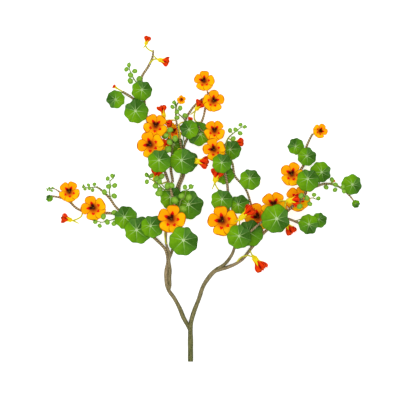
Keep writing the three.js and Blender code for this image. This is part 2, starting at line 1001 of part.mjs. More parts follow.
/** The spur behind a flower, bent over towards the gap between the upper petals. */
function spur(size, turn) {
  const gap = THREE.MathUtils.degToRad(90 + turn);
  const reach = (share) => [
    Math.cos(gap) * size * SPUR_LENGTH * share,
    Math.sin(gap) * size * SPUR_LENGTH * share,
  ];
  const curve = smooth([
    [0, 0, SPUR_ROOT],
    [...reach(SPUR_BEND), -THROAT_DEPTH - SPUR_SAG],
    [...reach(1), -THROAT_DEPTH - SPUR_TIP_SAG],
  ]);
  return stem(curve, [SPUR_ROOT_RADIUS, SPUR_TIP_RADIUS], STALK_SIDES, STALK_STEP);
}

function flower(spec) {
  const head = corolla(spec.size / 2, spec.turn)
    .add(spur(spec.size, spec.turn))
    .rotate(tiltOf(spec.tilt));
  return seated(head.add(stalk(spec, FLOWER_STALK_RADIUS, FLOWER_STALK_END)), spec);
}

/** A closed flower seen from the side: a spur, a yellow tube and a flared mouth in one line. */
function trumpet({ spur: tail, throat, mouth, radius, stalk: path }) {
  const [from, middle, to] = [tail, throat, mouth].map((p) => new THREE.Vector3(...p));
  const spurLength = middle.distanceTo(from);
  const headLength = to.distanceTo(middle);
  const profile = [
    [0, 0],
    [TRUMPET_SPUR_RADIUS, TRUMPET_TIP],
    [TRUMPET_SPUR_RADIUS * TRUMPET_SPUR_SWELL.radius, spurLength * TRUMPET_SPUR_SWELL.place],
    [TRUMPET_TUBE_RADIUS, spurLength + headLength * TRUMPET_TUBE_PLACE],
    [radius * TRUMPET_FLARE.radius, spurLength + headLength * TRUMPET_FLARE.place],
    [radius * TRUMPET_LIP_RADIUS, spurLength + headLength],
    [0, spurLength + headLength * TRUMPET_HOLLOW_PLACE],
  ].map(([r, y]) => new THREE.Vector2(r, y));
  const geometry = new THREE.LatheGeometry(profile, TRUMPET_SEGMENTS);
  const direction = to.clone().sub(from).normalize();
  geometry.applyQuaternion(
    new THREE.Quaternion().setFromUnitVectors(new THREE.Vector3(0, 1, 0), direction),
  );
  geometry.translate(...from.toArray());
  const foot = smooth([...path, from.clone().lerp(middle, TRUMPET_STALK_PLACE).toArray()]);
  return solidOf(geometry).add(
    stem(foot, [FLOWER_STALK_RADIUS, FLOWER_STALK_RADIUS], STALK_SIDES, STALK_STEP),
  );
}

// ---- branches ----

function leaflet({ at, diameter }) {
  return blade(diameter / 2, [0, 0]).translate(at);
}

function bloom({ at, diameter, turn }) {
  return corolla(diameter / 2 / BLOOM_SCALE, turn)
    .scale(BLOOM_SCALE)
    .translate(at);
}

function makeBranch(spec) {
  const points = spec.points.map((p) => [...p]);
  if (spec.from) {
    const seat = axisPoint(branches.get(spec.from), points[0]);
    points[0].splice(0, 3, ...seat);
  }
  const curve = smooth(points);
  const radii = evenRadii(points, curve);
  const bare = stem(curve, radii, BRANCH_SIDES, BRANCH_STEP);
  const extras = [
    ...(spec.trumpets ?? []).map(trumpet),
    ...(spec.leaflet ? [leaflet(spec.leaflet)] : []),
    ...(spec.bloom ? [bloom(spec.bloom)] : []),
  ];
  const whole = joined([bare, ...extras]);
  return {
    axis: curve.getSpacedPoints(Math.ceil(curve.getLength())),
    clearance: stem(curve, radii, BRANCH_SIDES, BRANCH_STEP, SEAT_GAP),
    solid: spec.from ? largest(whole.subtract(branches.get(spec.from).clearance)) : whole,
  };
}

// ---- the plant ----

const plant = new THREE.Group();
const branches = new Map();

function place(name, solid, finish, at = [0, 0, 0]) {
  const mesh = new THREE.Mesh(geometryOf(solid), new THREE.MeshStandardMaterial(finish));
  mesh.name = name;
  mesh.position.set(...at);
  plant.add(mesh);
}

const numbered = (kind, index) => `${kind}_${String(index + 1).padStart(2, "0")}`;

for (const spec of BRANCHES) {
  branches.set(spec.name, makeBranch(spec));
  place(spec.name, branches.get(spec.name).solid, STEM_FINISH);
}
LEAVES.forEach((spec, i) => {
  const at = navelOf(spec);
  place(numbered("leaf", i), leaf({ ...spec, at }), LEAF_FINISH, at);
});
FLOWERS.forEach((spec, i) => place(numbered("flower", i), flower(spec), PETAL_FINISH, spec.at));
TRUMPETS.forEach((spec, i) =>
  place(
    numbered("closed_flower", i),
    largest(trumpet(spec).subtract(branches.get(spec.on).clearance)),
    TRUMPET_FINISH,
  ),
);

export default plant;
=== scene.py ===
"""A cut, branching nasturtium stem with its leaves and flowers, laid down flat on a pale surface.

All tables are in millimetres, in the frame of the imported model: +Y from the cut end to the tips,
+Z up from the surface. Every mesh is made in metres, in place, with its object at the origin.
"""

from __future__ import annotations

import json
import logging
import math
from dataclasses import dataclass, field, replace
from enum import Enum
from functools import partial
from typing import Callable, Sequence

import bpy
import numpy as np
from mathutils import Euler, Matrix, Vector

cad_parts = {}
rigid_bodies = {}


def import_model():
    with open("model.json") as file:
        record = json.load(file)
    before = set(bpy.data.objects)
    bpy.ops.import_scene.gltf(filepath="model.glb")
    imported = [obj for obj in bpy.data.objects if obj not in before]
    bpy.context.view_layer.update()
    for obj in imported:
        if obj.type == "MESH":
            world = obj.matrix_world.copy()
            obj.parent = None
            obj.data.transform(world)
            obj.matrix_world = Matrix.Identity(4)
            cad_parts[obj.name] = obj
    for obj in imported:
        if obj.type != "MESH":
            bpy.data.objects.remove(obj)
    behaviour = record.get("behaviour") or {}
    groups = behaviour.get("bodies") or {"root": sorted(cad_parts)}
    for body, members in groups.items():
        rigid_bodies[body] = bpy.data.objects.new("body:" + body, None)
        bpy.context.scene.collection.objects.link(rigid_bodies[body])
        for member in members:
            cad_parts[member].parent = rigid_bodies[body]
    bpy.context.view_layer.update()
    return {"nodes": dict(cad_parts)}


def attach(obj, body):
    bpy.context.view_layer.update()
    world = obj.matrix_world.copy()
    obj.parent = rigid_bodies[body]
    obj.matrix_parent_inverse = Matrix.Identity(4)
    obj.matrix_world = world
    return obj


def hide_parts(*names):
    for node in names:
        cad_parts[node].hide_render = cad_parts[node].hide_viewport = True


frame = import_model()

log = logging.getLogger("nasturtium")

MM = 0.001
PATTERN = "pattern"  # UV map that the leaf and petal patterns follow
STRAIGHT = "straight"  # attribute: where a point of a stem lies when the stem is laid out straight
AGE = "age"  # attribute: 1 on an old, brown stem, 0 on its young green tip
RIM = "rim"  # attribute: 0 in the middle of a petal, 1 at its margin
PITCH = 9.6  # length of stem in which its ridges go once round it

Points = np.ndarray
Place = Sequence[float]
Shaper = Callable[[Points], Points]  # from a mould's points to those of one copy of it
Piece = bpy.types.Object
Material = bpy.types.Material
Tree = bpy.types.NodeTree
Source = bpy.types.Node | bpy.types.NodeSocket  # a node stands for its first output in use
Stops = Sequence[tuple[float, str | tuple]]  # place on a colour ramp, hex digits or linear colour


# ---- colours and nodes ----


def linear(code: str) -> tuple[float, float, float, float]:
    """Turn an sRGB hex colour into linear light.

    Args:
        code: six hex digits, such as "6fa515".

    Returns:
        Red, green, blue and an alpha of 1.
    """
    shares = [int(code[i : i + 2], 16) / 255 for i in (0, 2, 4)]
    bands = [c / 12.92 if c <= 0.04045 else ((c + 0.055) / 1.055) ** 2.4 for c in shares]
    return (*bands, 1.0)


def grey(value: float) -> tuple[float, float, float, float]:
    """A number as a linear grey, for a ramp that holds a curve."""
    return (value, value, value, 1.0)


def output(source: Source) -> bpy.types.NodeSocket:
    """Find the output that a source stands for.

    Args:
        source: an output, or a node.

    Returns:
        The output itself, or the node's first output in use.
    """
    if isinstance(source, bpy.types.NodeSocket):
        return source
    return next(socket for socket in source.outputs if socket.enabled)


def add(
    tree: Tree, kind: str, inputs: dict | None = None, stops: Stops = (), **settings: object
) -> bpy.types.Node:
    """Add one node with its settings and links.

    Args:
        tree: the material's node tree.
        kind: what follows "ShaderNode" in the node's type name.
        inputs: for an input's name or number, a value, a colour's hex digits, or what feeds it.
        stops: for a colour ramp, its stops in order.
        **settings: the node's own settings.

    Returns:
        The new node.
    """
    made = tree.nodes.new("ShaderNode" + kind)
    for key, value in settings.items():
        setattr(made, key, value)
    for key, value in (inputs or {}).items():
        if isinstance(value, Source):
            tree.links.new(output(value), made.inputs[key])
        else:
            made.inputs[key].default_value = linear(value) if isinstance(value, str) else value
    if stops:
        made.color_ramp.elements.remove(made.color_ramp.elements[1])
        made.color_ramp.elements[0].position = stops[0][0]
    for i, (place, colour) in enumerate(stops):
        stop = made.color_ramp.elements.new(place) if i else made.color_ramp.elements[0]
        stop.color = linear(colour) if isinstance(colour, str) else colour
    return made


def mottle(tree: Tree, size: float, detail: float = 3.0) -> Source:
    """A soft noise from 0 to 1 over the object.

    Args:
        tree: the material's node tree.
        size: how far apart its patches lie, in millimetres.
        detail: octaves of finer noise in it.

    Returns:
        The noise's value.
    """
    place = add(tree, "TexCoord").outputs["Object"]
    return add(tree, "TexNoise", {"Vector": place, "Scale": 1 / (size * MM), "Detail": detail})


def shaded(tree: Tree, colour: Source, value: Source, span: Sequence[float]) -> Source:
    """Darken and lighten a colour by a value.

    Args:
        tree: the material's node tree.
        colour: the colour.
        value: what steers it.
        span: a low and a high value, and what the colour is multiplied with at each.

    Returns:
        The shaded colour.
    """
    low, high, dark, light = span
    factor = add(tree, "MapRange", {0: value, 1: low, 2: high, 3: dark, 4: light})
    return add(tree, "VectorMath", {0: colour, "Scale": factor}, operation="SCALE")


def laid_over(
    tree: Tree, below: Source | str, above: Source | str, value: Source, span: Sequence[float]
) -> Source:
    """Lay one colour over another, as far as a value says.

    Args:
        tree: the material's node tree.
        below: the colour underneath, also as hex digits.
        above: the colour on top, also as hex digits.
        value: what steers it.
        span: a low and a high value, and how far the upper colour covers the lower one at each.

    Returns:
        The colour that shows.
    """
    low, high, first, last = span
    cover = add(tree, "MapRange", {0: value, 1: low, 2: high, 3: first, 4: last})
    return add(tree, "Mix", {0: cover, 6: below, 7: above}, data_type="RGBA")


@dataclass(frozen=True)
class Finish:
    """A surface finish, made as one material."""

    name: str
    roughness: float = 0.5
    specular: float = 0.4
    relief: float = 0.1  # depth of the relief, in millimetres
    painted_glow: float = 0.0  # painted glow: the surface emits this share of its own colour, which keeps a petal bright in shade, in place of light that comes through a thin petal

    def build(self) -> Material:
        """Make the material.

        Returns:
            The material.
        """
        material = bpy.data.materials.new(self.name)
        material.use_nodes = True
        tree = material.node_tree
        shader = tree.nodes["Principled BSDF"]
        shader.inputs["Roughness"].default_value = self.roughness
        shader.inputs["Specular IOR Level"].default_value = self.specular
        shader.inputs["Emission Strength"].default_value = self.painted_glow
        colour, height = self.pattern(tree)
        # a painted glow lets the colour shine by itself as well
        for target in ("Base Color", "Emission Color") if self.painted_glow else ("Base Color",):
            tree.links.new(output(colour), shader.inputs[target])
        bump = add(tree, "Bump", {"Height": height, "Strength": 1.0, "Distance": self.relief * MM})
        tree.links.new(output(bump), shader.inputs["Normal"])
        return material

    def pattern(self, tree: Tree) -> tuple[Source, Source]:
        """Draw the finish.

        Args:
            tree: the material's node tree.

        Returns:
            The colour, and the height of the relief from 0 to 1.
        """
        raise NotImplementedError


def round_place(tree: Tree) -> tuple[Source, Source, Source]:
    """Where a point lies on a round blade.

    Args:
        tree: the material's node tree.

    Returns:
        The place with the middle at 0 and the rim at 1, the angle from 0 to 1 for a full turn
        from -X, and the distance from the middle.
    """
    uv = add(tree, "UVMap", uv_map=PATTERN)
    flat = add(tree, "VectorMath", {0: uv, 1: (2, 2, 0), 2: (-1, -1, 0)}, operation="MULTIPLY_ADD")
    x, y, _ = add(tree, "SeparateXYZ", {0: flat}).outputs
    angle = add(tree, "Math", {0: y, 1: x}, operation="ARCTAN2")
    turn = add(tree, "MapRange", {0: angle, 1: -math.pi, 2: math.pi})
    return flat, turn, add(tree, "VectorMath", {0: flat}, operation="LENGTH")


# ---- the leaf's own pattern ----
# Angles are in degrees, counter-clockwise from the leaf's own +X.

VEINS = (-155.0, -98.0, -48.0, 5.0, 50.0, 86.0, 122.0, 176.0)
VEIN_SPREAD = 30.0  # the angle off a vein that a full step of the vein ramp stands for
VEIN_STEP = 0.002  # share of a turn on each side of a vein in which the sector colour changes

# painted light and shade: colours of the sector that starts at each vein, from its start to its end; lightest
# at the pattern's left and lower left and darkest at its right and upper right, as if light fell on the
# blade's facets from one side
SECTOR_LIGHT_AND_SHADE = (
    ("70a608", "589006"),
    ("68a00c", "528c10"),
    ("569012", "3f741a"),
    ("356416", "2e5c12"),
    ("42702a", "3a6a22"),
    ("52822e", "427624"),
    ("569208", "6ea806"),
    ("74ac08", "649a06"),
)

# the rim's reach at its lobes and notches, as a share of a plain round rim's
LOBES = (
    (-176, 0.93), (-160, 1.0), (-138, 0.95), (-120, 0.99), (-98, 0.93), (-76, 1.0), (-58, 0.97), (-36, 1.03),
    (-16, 0.99), (4, 1.06), (25, 1.01), (50, 1.09), (80, 0.94), (108, 1.06), (126, 0.98), (154, 1.04),
)


def slot_of(angle: Points, at: Points) -> tuple[Points, Points]:
    """Find the slots of a closed row of angles that some angles fall in.

    Args:
        angle: angles in degrees, any turn.
        at: the row, in order, with its first angle again at the end, a full turn on.

    Returns:
        The slot's number, and how far through it each angle lies, from 0 to 1.
    """
    wrapped = (angle - at[0]) % 360 + at[0]
    slot = np.clip(np.searchsorted(at, wrapped, side="right") - 1, 0, len(at) - 2)
    return slot, (wrapped - at[slot]) / (at[slot + 1] - at[slot])


def rim_reach(angle: Points) -> Points:
    """The rim's reach, with soft turns at its lobes and notches.

    Args:
        angle: angles in degrees.

    Returns:
        The reach at each.
    """
    closed = np.array([*LOBES, (LOBES[0][0] + 360, LOBES[0][1])])
    slot, share = slot_of(angle, closed[:, 0])
    blend = (1 - np.cos(np.pi * share)) / 2
    return closed[slot, 1] * (1 - blend) + closed[slot + 1, 1] * blend


def between_veins(angle: Points) -> Points:
    """How far a point lies between the veins beside it: 0 on a vein, 1 half way to the next."""
    return np.sin(np.pi * slot_of(angle, np.array([*VEINS, VEINS[0] + 360]))[1])


def vein_stops() -> Stops:
    """Work out the ramp of the angle to the nearest vein, over a full turn from -180 degrees.

    Returns:
        The ramp's stops.
    """
    around = [VEINS[-1] - 360, *VEINS, VEINS[0] + 360]
    stops = []
    for here, after in zip(around, around[1:]):
        half = (after - here) / 2
        stops += [(here, 0.0), (here + half, half / VEIN_SPREAD)]
    stops.append((around[-1], 0.0))
    inside = [(a, v) for a, v in stops if -180 < a < 180]
    edge = np.interp(180, [a for a, _ in stops], [v for _, v in stops])
    return [(0.0, grey(edge)), *[((a + 180) / 360, grey(v)) for a, v in inside], (1.0, grey(edge))]


def sector_light_and_shade_stops() -> Stops:
    """Work out the ramp of the painted light and shade between the veins, with a step at each vein.

    Returns:
        The ramp's stops.
    """
    ends = [*VEINS[1:], VEINS[0] + 360]
    share = (180 - VEINS[-1]) / (ends[-1] - VEINS[-1])
    last_start, last_end = (linear(code) for code in SECTOR_LIGHT_AND_SHADE[-1])
    edge = tuple(a * (1 - share) + b * share for a, b in zip(last_start, last_end))
    stops = [(0.0, edge), ((VEINS[0] + 180) / 360 - VEIN_STEP, last_end)]
    for start, end, (first, last) in zip(VEINS, ends, SECTOR_LIGHT_AND_SHADE):
        stops.append(((start + 180) / 360 + VEIN_STEP, first))
        if end < 180:
            stops.append(((end + 180) / 360 - VEIN_STEP, last))
    return [*stops, (1.0, edge)]


def off_vein(tree: Tree, turn: Source, reach: Source) -> Source:
    """How far a point lies from the nearest vein.

    Args:
        tree: the material's node tree.
        turn: the angle from 0 to 1 for a full turn from -X.
        reach: the distance from the blade's middle, 1 at the rim.

    Returns:
        The distance, where a vein's spread at the rim is 1.
    """
    aside = add(tree, "ValToRGB", {0: turn}, vein_stops())
    return add(tree, "Math", {0: aside, 1: reach}, operation="MULTIPLY")


@dataclass(frozen=True)
class LeafSkin(Finish):
    """Upper skin of a grown leaf: waxy green with painted light and shade in lighter and darker sectors, with
    pale veins.
    """

    relief: float = 0.25
    vein: str = "bce08a"
    net: str = "84b43a"
    navel: str = "e4f6cc"
    rim: str = "24500f"
    vein_width: float = 0.03  # half a vein's width, as a share of the blade's radius
    cell: float = 3.2  # size of the fine net's cells, drawn coarser than real ones so that it shows

    def pattern(self, tree: Tree) -> tuple[Source, Source]:
        """Draw the sectors of painted light and shade, veins, navel and a faint net of fine veins.

        Args:
            tree: the material's node tree.

        Returns:
            The colour, and the height of the relief from 0 to 1.
        """
        _, turn, reach = round_place(tree)
        # painted light and shade, sector by sector
        sector = add(tree, "ValToRGB", {0: turn}, sector_light_and_shade_stops())
        half = self.vein_width / math.radians(VEIN_SPREAD)
        line = add(tree, "MapRange", {0: off_vein(tree, turn, reach), 1: 0.4 * half, 2: half, 3: 1.0, 4: 0.0})
        fade = add(tree, "MapRange", {0: reach, 1: 0.1, 2: 0.66, 3: 1.0, 4: 0.12})
        vein = add(tree, "Math", {0: line, 1: fade}, operation="MULTIPLY")
        patch = mottle(tree, 5.0)
        blade = shaded(tree, sector, patch, (0.3, 0.7, 0.88, 1.12))
        cells = {"Vector": add(tree, "TexCoord").outputs["Object"], "Scale": 1 / (self.cell * MM)}
        net = add(tree, "TexVoronoi", cells, feature="DISTANCE_TO_EDGE")
        netted = laid_over(tree, blade, self.net, net, (0.02, 0.09, 0.16, 0.0))
        veined = add(tree, "Mix", {0: vein, 6: netted, 7: self.vein}, data_type="RGBA")
        edged = laid_over(tree, veined, self.rim, reach, (0.94, 1.0, 0.0, 0.8))
        colour = laid_over(tree, edged, self.navel, reach, (0.035, 0.12, 0.95, 0.0))
        return colour, add(tree, "Math", {0: patch, 1: line}, operation="SUBTRACT")


@dataclass(frozen=True)
class LeafBack(Finish):
    """Underside of a leaf: paler, dull, with raised pale veins."""

    relief: float = 0.4
    blade: str = "7fa55c"
    vein: str = "b5cf95"

    def pattern(self, tree: Tree) -> tuple[Source, Source]:
        """Draw the main veins on a mottled pale green.

        Args:
            tree: the material's node tree.

        Returns:
            The colour, and the height of the relief from 0 to 1.
        """
        _, turn, reach = round_place(tree)
        line = add(tree, "MapRange", {0: off_vein(tree, turn, reach), 1: 0.02, 2: 0.06, 3: 0.9, 4: 0.0})
        veined = add(tree, "Mix", {0: line, 6: self.blade, 7: self.vein}, data_type="RGBA")
        return shaded(tree, veined, mottle(tree, 4.0), (0.3, 0.7, 0.9, 1.1)), line


@dataclass(frozen=True)
class YoungLeafSkin(Finish):
    """Soft light green skin of a leaf that has just opened, with a painted highlight that makes it lighter
    round its middle.
    """

    relief: float = 0.15
    # painted highlight: the middle is the light colour and the rim the darker one, as on a lit dome
    middle: str = "8cba3c"
    rim: str = "669c20"
    vein: str = "9cc858"

    def pattern(self, tree: Tree) -> tuple[Source, Source]:
        """Draw a painted highlight in a light middle, a few faint veins and a mottled rim.

        Args:
            tree: the material's node tree.

        Returns:
            The colour, and the height of the relief from 0 to 1.
        """
        _, turn, reach = round_place(tree)
        patch = mottle(tree, 3.0)
        place = add(tree, "Math", {0: reach, 1: patch}, operation="MULTIPLY")
        # painted highlight: light in mottled patches round the middle, falling off to the darker rim
        blade = laid_over(tree, self.middle, self.rim, place, (0.1, 0.5, 0.0, 1.0))
        return laid_over(tree, blade, self.vein, off_vein(tree, turn, reach), (0.02, 0.09, 0.55, 0.0)), patch


@dataclass(frozen=True)
class PetalSkin(Finish):
    """Velvety petal: orange yellow with a red mark, a brown throat end, a thin dark rim that is partly
    painted shade where petals overlap, and a painted glow.
    """

    roughness: float = 0.65
    specular: float = 0.04
    relief: float = 0.3
    # painted glow, which keeps the petals bright where shade falls on them
    painted_glow: float = 0.12
    ground: Stops = ()  # distance from the flower's middle, colour
    mark: Stops = ()  # the same along the red mark
    outline: tuple[tuple[float, float], ...] = ()  # angle off the petal's middle line, mark's reach
    mark_start: float = 0.0  # where the mark begins
    # thin dark rim: partly the petal's own edge colour, partly painted shade where one petal lies over the
    # next
    rim: str = "b44a04"
    widest: float = 0.5  # the angle in radians that the outline's last place stands for

    def pattern(self, tree: Tree) -> tuple[Source, Source]:
        """Draw ground, fine lines, mark and the rim, whose darkening is partly painted shade.

        Args:
            tree: the material's node tree.

        Returns:
            The colour, and the height of the relief from 0 to 1.
        """
        uv = add(tree, "UVMap", uv_map=PATTERN)
        flat = add(tree, "VectorMath", {0: uv, 1: (2, 1, 0), 2: (-1, 0, 0)}, operation="MULTIPLY_ADD")
        x, y, _ = add(tree, "SeparateXYZ", {0: flat}).outputs
        angle = add(tree, "Math", {0: x, 1: y}, operation="ARCTAN2")
        off = add(tree, "Math", {0: angle}, operation="ABSOLUTE")
        reach = add(tree, "VectorMath", {0: flat}, operation="LENGTH")
        jitter = add(tree, "MapRange", {0: mottle(tree, 1.6), 1: 0.0, 2: 1.0, 3: -0.05, 4: 0.05})
        ragged = add(tree, "Math", {0: reach, 1: jitter}, operation="ADD")
        ground = add(tree, "ValToRGB", {0: ragged}, self.ground)
        place = add(tree, "CombineXYZ", {0: angle, 1: reach})
        stretched = add(tree, "VectorMath", {0: place, 1: (26, 1.6, 0)}, operation="MULTIPLY")
        rays = add(tree, "TexNoise", {"Vector": stretched, "Scale": 1.0, "Detail": 2.0})
        lined = shaded(tree, ground, rays, (0.36, 0.62, 0.86, 1.04))
        share = add(tree, "Math", {0: off, 1: self.widest}, operation="DIVIDE")
        curve = [(at / self.widest, grey(value)) for at, value in self.outline]
        edge = add(tree, "ValToRGB", {0: share}, curve)
        inside = add(tree, "Math", {0: edge, 1: ragged}, operation="SUBTRACT")
        outer = add(tree, "MapRange", {0: inside, 1: -0.01, 2: 0.02})
        inner = add(tree, "MapRange", {0: ragged, 1: self.mark_start - 0.03, 2: self.mark_start + 0.02})
        mask = add(tree, "Math", {0: outer, 1: inner}, operation="MULTIPLY")
        red = add(tree, "ValToRGB", {0: ragged}, self.mark)
        marked = add(tree, "Mix", {0: mask, 6: lined, 7: red}, data_type="RGBA")
        margin = add(tree, "Attribute", attribute_name=RIM).outputs["Fac"]
        # the dark rim, partly painted shade of overlapping petals
        return laid_over(tree, marked, self.rim, margin, (0.87, 0.96, 0.0, 1.0)), rays


@dataclass(frozen=True)
class TrumpetSkin(Finish):
    """Crumpled petal of a closed flower: scarlet with dark and light streaks, partly its own veining and
    partly painted shade in the folds and painted highlight on lit parts, and a light edge.
    """

    roughness: float = 0.6
    specular: float = 0.04
    relief: float = 0.4
    # streak colours: the dark one is partly painted shade in the folds, the light one partly painted
    # highlight
    dark: str = "7e0800"
    middle: str = "e42600"
    light: str = "fc4604"
    edge: str = "f0560c"

    def pattern(self, tree: Tree) -> tuple[Source, Source]:
        """Draw streaks that run from the tube to the mouth, which carry painted shade and highlight.

        Args:
            tree: the material's node tree.

        Returns:
            The colour, and the height of the relief from 0 to 1.
        """
        flat, _, reach = round_place(tree)
        ray = add(tree, "VectorMath", {0: flat}, operation="NORMALIZE")
        along = add(tree, "CombineXYZ", {2: reach})
        place = add(tree, "VectorMath", {0: ray, 1: (3.2, 3.2, 0), 2: along}, operation="MULTIPLY_ADD")
        streak = add(tree, "TexNoise", {"Vector": place, "Scale": 1.0, "Detail": 3.0})
        # painted shade and highlight in the streaks
        streak_shade_and_light = add(tree, "ValToRGB", {0: streak}, [(0.4, self.dark), (0.49, self.middle), (0.66, self.light)])
        return laid_over(tree, streak_shade_and_light, self.edge, reach, (0.9, 1.0, 0.0, 0.6)), streak


@dataclass(frozen=True)
class SmoothSkin(Finish):
    """Smooth plant skin that shifts softly between two colours, such as a stalk's or a sepal's."""

    specular: float = 0.15
    first: str = "d2d23c"
    second: str = "b4bc30"
    patch: float = 6.0  # size of the colour's patches
    grain: float = 0.8  # size of the relief's grain

    def pattern(self, tree: Tree) -> tuple[Source, Source]:
        """Draw soft patches over a fine grain."""
        stops = [(0.38, self.first), (0.62, self.second)]
        return add(tree, "ValToRGB", {0: mottle(tree, self.patch)}, stops), mottle(tree, self.grain)


@dataclass(frozen=True)
class StemSkin(Finish):
    """Dry stem skin with twisted ridges: tan on the ridges, olive brown in the grooves, with painted shade on
    its sides.
    """

    relief: float = 0.5
    ridges: Stops = ((0.5, "c8b082"), (0.75, "b49e7a"), (0.9, "968c60"), (1.0, "82824f"))  # by age
    grooves: Stops = ((0.5, "64522f"), (0.75, "7c6a4a"), (0.9, "54562e"), (1.0, "36441e"))
    young: str = "6f8f36"
    side_shade: str = "323a1a"  # painted shade on its low sides, which little light reaches

    def pattern(self, tree: Tree) -> tuple[Source, Source]:
        """Draw the twisted bands, lengthwise fibres, painted shade on the sides and the greener tip.

        Args:
            tree: the material's node tree.

        Returns:
            The colour, and the height of the relief from 0 to 1.
        """
        straight = add(tree, "Attribute", attribute_name=STRAIGHT).outputs["Vector"]
        x, y, z = add(tree, "SeparateXYZ", {0: straight}).outputs
        around = add(tree, "Math", {0: y, 1: x}, operation="ARCTAN2")
        twist = add(tree, "Math", {0: z, 1: 2 * math.pi / (PITCH * MM)}, operation="MULTIPLY")
        phase = add(tree, "Math", {0: around, 1: twist}, operation="ADD")
        double = add(tree, "Math", {0: phase, 1: 2.0}, operation="MULTIPLY")
        band = add(tree, "Math", {0: double}, operation="SINE")
        stretch = add(tree, "VectorMath", {0: straight, 1: (700, 700, 120)}, operation="MULTIPLY")
        fibre = add(tree, "TexNoise", {"Vector": stretch, "Scale": 1.0, "Detail": 4.0})
        rough = add(tree, "Math", {0: fibre, 1: mottle(tree, 1.8, 2.0)}, operation="ADD")
        ragged = add(tree, "Math", {0: rough, 1: 1.1, 2: -1.1}, operation="MULTIPLY_ADD")
        age = add(tree, "Attribute", attribute_name=AGE).outputs["Fac"]
        worn = add(tree, "MapRange", {0: age, 1: 0.56, 2: 0.76, 3: 1.0, 4: 0.0})
        faint = add(tree, "Math", {0: band, 1: worn}, operation="MULTIPLY")
        level = add(tree, "Math", {0: faint, 1: ragged}, operation="ADD")
        groove = add(tree, "ValToRGB", {0: age}, self.grooves)
        ridge = add(tree, "ValToRGB", {0: age}, self.ridges)
        bark = laid_over(tree, groove, ridge, level, (-0.2, 0.2, 0.0, 1.0))
        toned = shaded(tree, bark, mottle(tree, 35.0, 2.0), (0.3, 0.7, 0.86, 1.1))
        # painted shade: darker where the skin faces sideways rather than up
        facing = add(tree, "SeparateXYZ", {0: add(tree, "TexCoord").outputs["Normal"]}).outputs[2]
        shade_on_sides = laid_over(tree, toned, self.side_shade, facing, (0.35, 0.9, 0.7, 0.0))
        return laid_over(tree, shade_on_sides, self.young, age, (0.08, 0.28, 0.95, 0.0)), fibre


# the red flame of an upper petal and the red spot of a lower one
FLAME = (
    (0.0, 0.6), (0.05, 0.52), (0.1, 0.57), (0.16, 0.46), (0.22, 0.5), (0.29, 0.39), (0.36, 0.36),
    (0.44, 0.22), (0.5, 0.08),
)
SPOT = ((0.0, 0.62), (0.05, 0.55), (0.09, 0.58), (0.15, 0.51), (0.2, 0.52), (0.26, 0.46), (0.32, 0.33))


class Skins:
    """All finishes, each made once."""

    def __init__(self) -> None:
        """Make every material."""
        # grown leaves: waxy above, so they take a soft shine; dull and paler beneath
        self.leaf = LeafSkin("waxy_leaf_upper", 0.5, 0.04).build()
        self.leaf_back = LeafBack("dull_leaf_underside", 0.7, 0.1).build()
        # leaves that have just opened: light and smooth; the folded one at the tip is darker
        self.young_leaf = YoungLeafSkin("young_leaf", 0.55, 0.06).build()
        self.young_tip = SmoothSkin("growing_tip", 0.5, 0.1, first="437a1a", second="568c26", patch=2).build()
        # stalks: smooth and sappy, green under leaves and yellow under flowers
        self.leaf_stalk = SmoothSkin("leaf_stalk", first="748e38", second="869a44").build()
        self.shoot_stalk = SmoothSkin("shoot_stalk", first="6f8236", second="84964a").build()
        self.flower_stalk = SmoothSkin("flower_stalk", first="d8d028", second="b8b820").build()
        self.tube = SmoothSkin("yellow_tube", first="f8e608", second="eccc00", patch=4.0).build()
        # open petals: velvet with next to no shine, with a painted glow of their own colour that keeps them
        # bright in shade
        self.upper_petal = PetalSkin(
            "velvet_petal_upper",
            ground=(
                (0.08, "3a1006"), (0.18, "5a1c06"), (0.26, "a44803"), (0.36, "ea8400"), (0.48, "fea000"),
                (1.0, "ffac00"),
            ),
            mark=((0.17, "340a04"), (0.28, "4a0804"), (0.35, "b40a06"), (0.45, "e60a08")),
            outline=FLAME,
        ).build()
        self.lower_petal = PetalSkin(
            "velvet_petal_lower",
            ground=(
                (0.08, "90380a"), (0.18, "ac4406"), (0.26, "c85804"), (0.36, "e87c04"), (0.47, "f89400"),
                (0.6, "ffb800"), (1.0, "ffb800"),
            ),
            mark=((0.38, "c83004"), (0.46, "e81c08"), (0.6, "ee160a")),
            outline=SPOT,
            mark_start=0.37,
        ).build()
        # throat and stamens: matt brown, darker than all round them
        brown = SmoothSkin("flower_throat", 0.7, 0.1, first="56220a", second="6e300c", patch=1.5)
        self.throat = brown.build()
        self.stamen = replace(brown, name="stamen", roughness=0.6, first="8e4a18", second="743606").build()
        # closed petals: crumpled scarlet, darker and streaked inside the mouth, the streaks partly painted
        # shade and highlight
        self.trumpet = TrumpetSkin("scarlet_petal_outside").build()
        inside = {"specular": 0.08, "dark": "6e0a04", "middle": "b81806", "light": "de3406"}
        self.trumpet_inside = TrumpetSkin("scarlet_petal_inside", **inside).build()
        # stems: dry and matt, in light and dark bands that twist round them
        self.stem = StemSkin("twisted_stem", 0.8, 0.12).build()


# ---- smooth routes and tubes ----

TINY = 1e-6  # the least distance between two points of a path, so that none divides by zero
STRETCH = 24  # points of a smooth path from one given point to the next
TUBE_CREASE = 50.0  # degrees between two faces of a tube past which their edge stays sharp
SHELL_CREASE = 60.0  # the same on a leaf or petal


def ramp(value: Points, start: float, end: float) -> Points:
    """0 up to the start, 1 past the end, and a straight rise between them."""
    return np.clip((value - start) / (end - start), 0, 1)


